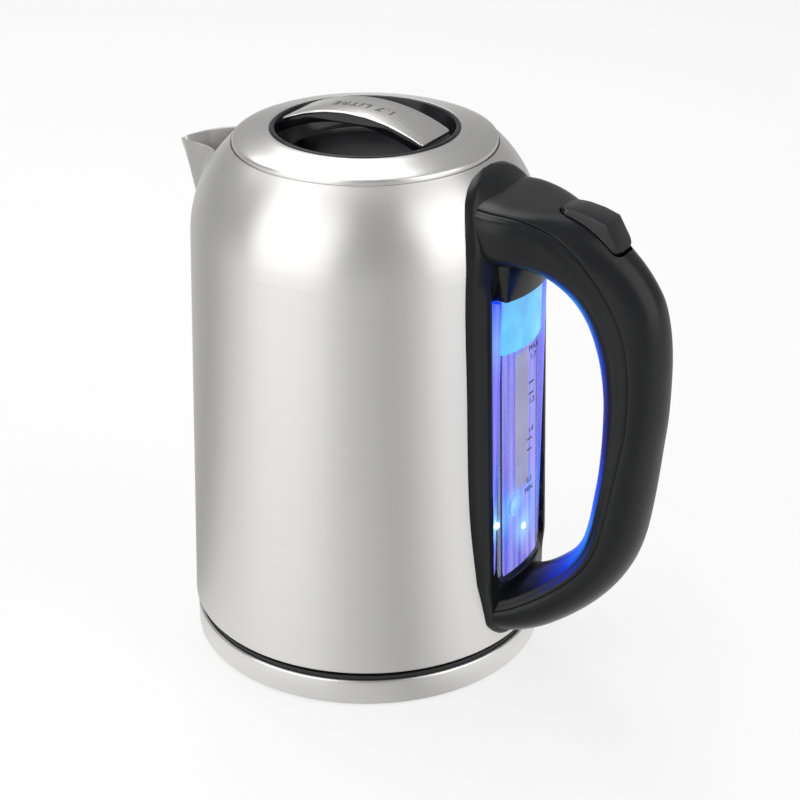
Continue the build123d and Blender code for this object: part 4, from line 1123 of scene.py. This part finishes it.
class KETTLE_OT_gauge(Builds, bpy.types.Operator):
    """Build the lit water gauge: clear column, holders, lit block, back and scale"""
    bl_idname = "kettle.gauge"
    bl_label = "Water gauge"

    def build(self, sizes, finishes):
        front = corner("window_column", 0)
        low = corner("window_column", 2, 0)
        high = corner("window_column", 2)
        side = corner("window_column", 1)
        column = gauge_bar("gauge_column", 70.0, front, side, low, high)
        hollow = gauge_bar("gauge_hollow", 66.0, front - 1.0, side - 1.0, low + 1.6, high - 1.6)
        cut(column, hollow)
        bevelled(column, 0.0003, 2, 40)
        cut(column, body_core())
        smooth(column, 35)
        ride(column, "jug", "clear_plastic", finishes["clear_plastic"], "window_column")

        for name, foot, head, node, finish in (
            ("gauge_top_holder", high + 0.05, 192.0, "window_top_holder", "gloss_black"),
            ("gauge_foot_holder", 36.0, low - 0.05, "window_bottom_holder", "satin_black"),
        ):
            holder = gauge_bar(name, 66.0, front + 0.5, side + 0.5, foot, head)
            bevelled(holder, 0.0004, 2, 40)
            cut(holder, body_core())
            smooth(holder, 35)
            ride(holder, "jug", "satin_black", finishes[finish], node)

        lit = gauge_bar("gauge_lit_block", 70.0, front - 1.4, side - 1.4, 150.5, high - 1.8)
        bevelled(lit, 0.0004, 2, 40)
        cut(lit, body_core())
        smooth(lit, 35)
        ride(lit, "jug", "blue_light", finishes["gauge_top"])

        # the back sheet glows: the light seen in the gauge's column is painted on it
        back = gauge_sheet("glowing_gauge_back", low + 2.0, 150.0, -14.5, 14.5, 0.75)
        ride(back, "jug", "blue_light", finishes["gauge_glow"])
        strip = gauge_sheet("gauge_strip", 86.0, 147.0, -6.5, 4.0, 1.35)
        ride(strip, "jug", "clear_plastic", finishes["gauge_strip"])

        for name, turn in (("gauge_light_a", -1), ("gauge_light_b", 1)):
            left, right = sorted((turn * 17.7, turn * 20.7))
            light = block(name, (69.0, left, 46.5), (73.8, right, 174.5))
            bevel_upright(light, 1.2, 4, front_only=True)
            bevelled(light, 0.0003, 2, 40)
            cut(light, body_core())
            smooth(light, 35)
            nodes = ("light_guides", "led_boards", "leds") if turn < 0 else ()
            ride(light, "jug", "blue_light", finishes["blue_light"], *nodes)

        face = corner("window_column", 0) + 0.02
        scale = [block(f"tick_{count}", (face, -2.0, z - 0.3), (face + 0.1, 2.0, z + 0.3))
                 for count, z in enumerate((103.0, 108.0, 129.0, 134.0))]
        for words, z in (
            ("MAX", 149.6), ("1.7", 145.4), ("1.0", 112.0), ("1.2", 125.4), ("MIN", 84.0), ("0.5", 88.4),
        ):
            text = lettering("word_" + words.replace(".", "_"), words, 0.0036, 0.00005, 1.05)
            text.rotation_euler = (pi / 2, 0, pi / 2)
            text.location = (face * MM + 0.00004, 0.0008, z * MM)
            settle(text)
            scale.append(text)
        pick(*scale)
        bpy.ops.object.join()
        marks = named("gauge_scale")
        ride(marks, "jug", "mark_ink", finishes["mark_ink"], "level_marks")

        for name, x, y, z in (("gauge_led_a", 74.5, -19.5, 75.0), ("gauge_led_b", 76.2, 1.0, 65.5)):
            deselect()
            bpy.ops.mesh.primitive_uv_sphere_add(
                segments=24, ring_count=12, radius=1.5 * MM, location=(x * MM, y * MM, z * MM),
                scale=(0.6, 1, 1))
            lens = named(name)
            settle(lens)
            smooth(lens, 60)
            ride(lens, "jug", "blue_light", finishes["led_core"])

        # a ring at the lower port, glowing with painted light where the gauge's light shows through the port
        deselect()
        bpy.ops.mesh.primitive_torus_add(
            major_radius=4.2 * MM, minor_radius=0.7 * MM, major_segments=48, minor_segments=10,
            location=(76.0 * MM, -7.5 * MM, 79.5 * MM), rotation=(0, pi / 2, 0))
        port = named("glowing_port_ring")
        settle(port)
        smooth(port, 60)
        ride(port, "jug", "blue_light", finishes["blue_light"])


GAUGE_BULGE = 3.2
GAUGE_BULGE_POWER = 2.2
GAUGE_STEPS = 12


def gauge_bar(name, back, front, half, low, high):
    """An upright bar with the gauge's softly bulging front, in millimetres."""
    shares = [step / GAUGE_STEPS for step in range(-GAUGE_STEPS, GAUGE_STEPS + 1)]
    arc = [(front - GAUGE_BULGE * abs(share) ** GAUGE_BULGE_POWER, half * share) for share in shares]
    piece = prism(name, [(back, -half), *arc, (back, half)], low, high)
    piece.rotation_euler = (pi / 2, 0, 0)
    settle(piece)
    return piece


def gauge_sheet(name, low, high, left, right, off):
    """A thin sheet that stands off the body's wall behind the gauge, in millimetres."""
    tall, across = 40, 24
    rows = []
    for row in range(tall + 1):
        z = low + (high - low) * row / tall
        places = [left + (right - left) * column / across for column in range(across + 1)]
        rows.append([(sqrt((side_radius(z) + off) ** 2 - y * y), y, z) for y in places])
    piece = formed_sheet(name, rows)
    modify(piece, "SOLIDIFY", thickness=0.0004, offset=0)
    smooth(piece, 40)
    return piece


class KETTLE_OT_base_ring(Builds, bpy.types.Operator):
    """Spin the steel ring round the power base"""
    bl_idname = "kettle.base_ring"
    bl_label = "Base ring"

    def build(self, sizes, finishes):
        edge = corner("base_trim_ring", 0)
        low = corner("base_trim_ring", 2, 0)
        high = corner("base_trim_ring", 2)
        ring = spun("base_steel_ring", [
            (edge - 1.6, low + 0.6), (edge - 0.9, low), (edge - 0.25, low + 0.25), (edge, low + 0.9),
            (edge, high - 0.9), (edge - 0.3, high - 0.25), (edge - 0.9, high), (edge - 1.0, high),
            (edge - 1.1, high - 0.6), (edge - 1.15, low + 1.2),
        ], 192)
        smooth(ring, 50)
        ride(ring, "power_base", "brushed_steel", finishes["ring_steel"], "base_trim_ring")


# light painted on the floor, seen only by glossy rays, that polished metal shows in reflections: bearing in
# degrees, brightness
PAINTED_FLOOR_LIGHT = [(-180, 0.48), (-165, 0.52), (-146, 0.88), (-128, 1.0), (-110, 0.98), (-96, 0.92), (-82, 0.84),
          (-68, 0.76), (-56, 0.68), (-42, 0.55), (-30, 0.66), (-14, 0.88), (2, 0.98), (14, 0.95), (40, 0.70),
          (90, 0.60), (140, 0.80), (180, 0.48)]


def painted_floor_light(tree, place):
    """The light painted on the floor by its bearing from the kettle."""
    x, y, _ = split_node(tree, place)
    bearing = math_node(tree, "ARCTAN2", y, x)
    turn = math_node(tree, "ADD", math_node(tree, "MULTIPLY", bearing, 0.5 / pi), 0.5)
    return colour_ramp(tree, turn, [
        ((angle + 180) / 360, (value, value, value * 0.985)) for angle, value in PAINTED_FLOOR_LIGHT])


# each softbox: bearing in degrees, distance, height, width, height of its face, power
SOFTBOXES = (
    ("left_softbox", -107.0, 1.25, 0.75, 1.45, 1.5, 10.0),
    ("right_softbox", 4.0, 1.3, 0.8, 1.25, 1.5, 9.0),
    ("top_softbox", 150.0, 0.7, 1.5, 1.3, 1.3, 14.0),
)
SOFTBOX_AIM = Vector((0, 0, 0.12))
CAMERA_PLACE = Vector((0.4032, -0.6439, 0.4867))
CAMERA_AIM = Vector((0.0120, 0.0072, 0.1053))
CAMERA_LENS = 89.1
FLOOR_SIZE = 24
FLOOR_PALER = 0.72
SKY_LIGHT = 0.38


def by_ray(tree, kind, usual, special, share=1.0):
    """Shows one kind of ray a second shader."""
    rays = tree.nodes.new("ShaderNodeLightPath")
    either = tree.nodes.new("ShaderNodeMixShader")
    tree.links.new(math_node(tree, "MULTIPLY", rays.outputs[kind], share), either.inputs[0])
    tree.links.new(usual, either.inputs[1])
    tree.links.new(special, either.inputs[2])
    return either.outputs[0]


def aimed(thing, place, aim):
    """Places a lamp or a camera, turned towards a point."""
    thing.location = place
    thing.rotation_euler = (aim - place).to_track_quat("-Z", "Y").to_euler()
    bpy.context.scene.collection.objects.link(thing)


def pale_floor(colours):
    """The plain pale floor, whiter to the camera, with light painted on it by bearing that only glossy rays
    see.
    """
    deselect()
    bpy.ops.mesh.primitive_plane_add(size=FLOOR_SIZE)
    floor = named("stage_floor")
    material, tree, shader, place = new_material("stage_floor_finish")
    wear = use_group(tree, wear_group, place, Patch_Scale=2.0, Speck_Scale=300.0)
    base = tuple(colours.floor)
    tint(tree, wear.outputs["Patches"], scaled(base, 0.99), base, shader.inputs["Base Color"])
    shader.inputs["Roughness"].default_value = 0.85
    shader.inputs["Specular IOR Level"].default_value = 0.1
    white = tree.nodes.new("ShaderNodeEmission")
    painted_panels = tree.nodes.new("ShaderNodeEmission")
    tree.links.new(painted_floor_light(tree, place), painted_panels.inputs["Color"])
    seen = by_ray(tree, "Is Camera Ray", shader.outputs[0], white.outputs[0], FLOOR_PALER)
    # glossy rays see the light painted on the floor
    shown = by_ray(tree, "Is Glossy Ray", seen, painted_panels.outputs[0])
    tree.links.new(shown, tree.nodes["Material Output"].inputs["Surface"])
    floor.data.materials.append(material)


def studio_sky():
    """White to the camera, and a soft even light for all else."""
    world = bpy.data.worlds.new("studio")
    world.use_nodes = True
    sky = world.node_tree
    ground = sky.nodes["Background"]
    pale = sky.nodes.new("ShaderNodeBackground")
    for node, strength in ((ground, SKY_LIGHT), (pale, 1.0)):
        node.inputs["Strength"].default_value = strength
        node.inputs["Color"].default_value = (1, 1, 1, 1)
    shown = by_ray(sky, "Is Camera Ray", ground.outputs[0], pale.outputs[0])
    sky.links.new(shown, sky.nodes["World Output"].inputs["Surface"])
    return world


class KETTLE_OT_stage(bpy.types.Operator):
    """Set the plain pale floor, the soft lights and the camera"""
    bl_idname = "kettle.stage"
    bl_label = "Stage"

    def execute(self, context):
        scene = context.scene
        pale_floor(scene.kettle_colours)
        scene.world = studio_sky()
        scene.view_settings.view_transform = "Standard"
        for name, turn, distance, height, width, tall, power in SOFTBOXES:
            light = bpy.data.lights.new(name, "AREA")
            light.shape = "RECTANGLE"
            light.size = width
            light.size_y = tall
            light.energy = power
            place = Vector((distance * cos(radians(turn)), distance * sin(radians(turn)), height))
            aimed(bpy.data.objects.new(name, light), place, SOFTBOX_AIM)
        camera = bpy.data.objects.new("camera", bpy.data.cameras.new("camera"))
        aimed(camera, CAMERA_PLACE, CAMERA_AIM)
        camera.data.lens = CAMERA_LENS
        camera.data.clip_start = 0.01
        scene.camera = camera
        return {"FINISHED"}


OPERATORS = (
    KETTLE_OT_finishes, KETTLE_OT_foot_bead, KETTLE_OT_spout, KETTLE_OT_lid, KETTLE_OT_bridge,
    KETTLE_OT_handle, KETTLE_OT_plate, KETTLE_OT_button, KETTLE_OT_gauge, KETTLE_OT_base_ring,
    KETTLE_OT_stage,
)


class KETTLE_PT_panel(bpy.types.Panel):
    """Lists the kettle's settings and its building steps"""
    bl_idname = "KETTLE_PT_panel"
    bl_label = "Cordless Kettle"
    bl_space_type = "VIEW_3D"
    bl_region_type = "UI"
    bl_category = "Kettle"

    def draw(self, context):
        for group in (context.scene.kettle_sizes, context.scene.kettle_colours):
            for name in group.bl_rna.properties.keys():
                if name not in ("rna_type", "name"):
                    self.layout.prop(group, name)
        for operator in OPERATORS:
            self.layout.operator(operator.bl_idname)


CLASSES = (KettleSizes, KettleColours, *OPERATORS, KETTLE_PT_panel)


def register():
    for entry in CLASSES:
        bpy.utils.register_class(entry)
    bpy.types.Scene.kettle_sizes = bpy.props.PointerProperty(type=KettleSizes)
    bpy.types.Scene.kettle_colours = bpy.props.PointerProperty(type=KettleColours)


def unregister():
    del bpy.types.Scene.kettle_sizes
    del bpy.types.Scene.kettle_colours
    for entry in reversed(CLASSES):
        bpy.utils.unregister_class(entry)


def main():
    register()
    for operator in OPERATORS:
        group, name = operator.bl_idname.split(".")
        getattr(getattr(bpy.ops, group), name)()


if __name__ == "__main__":
    main()
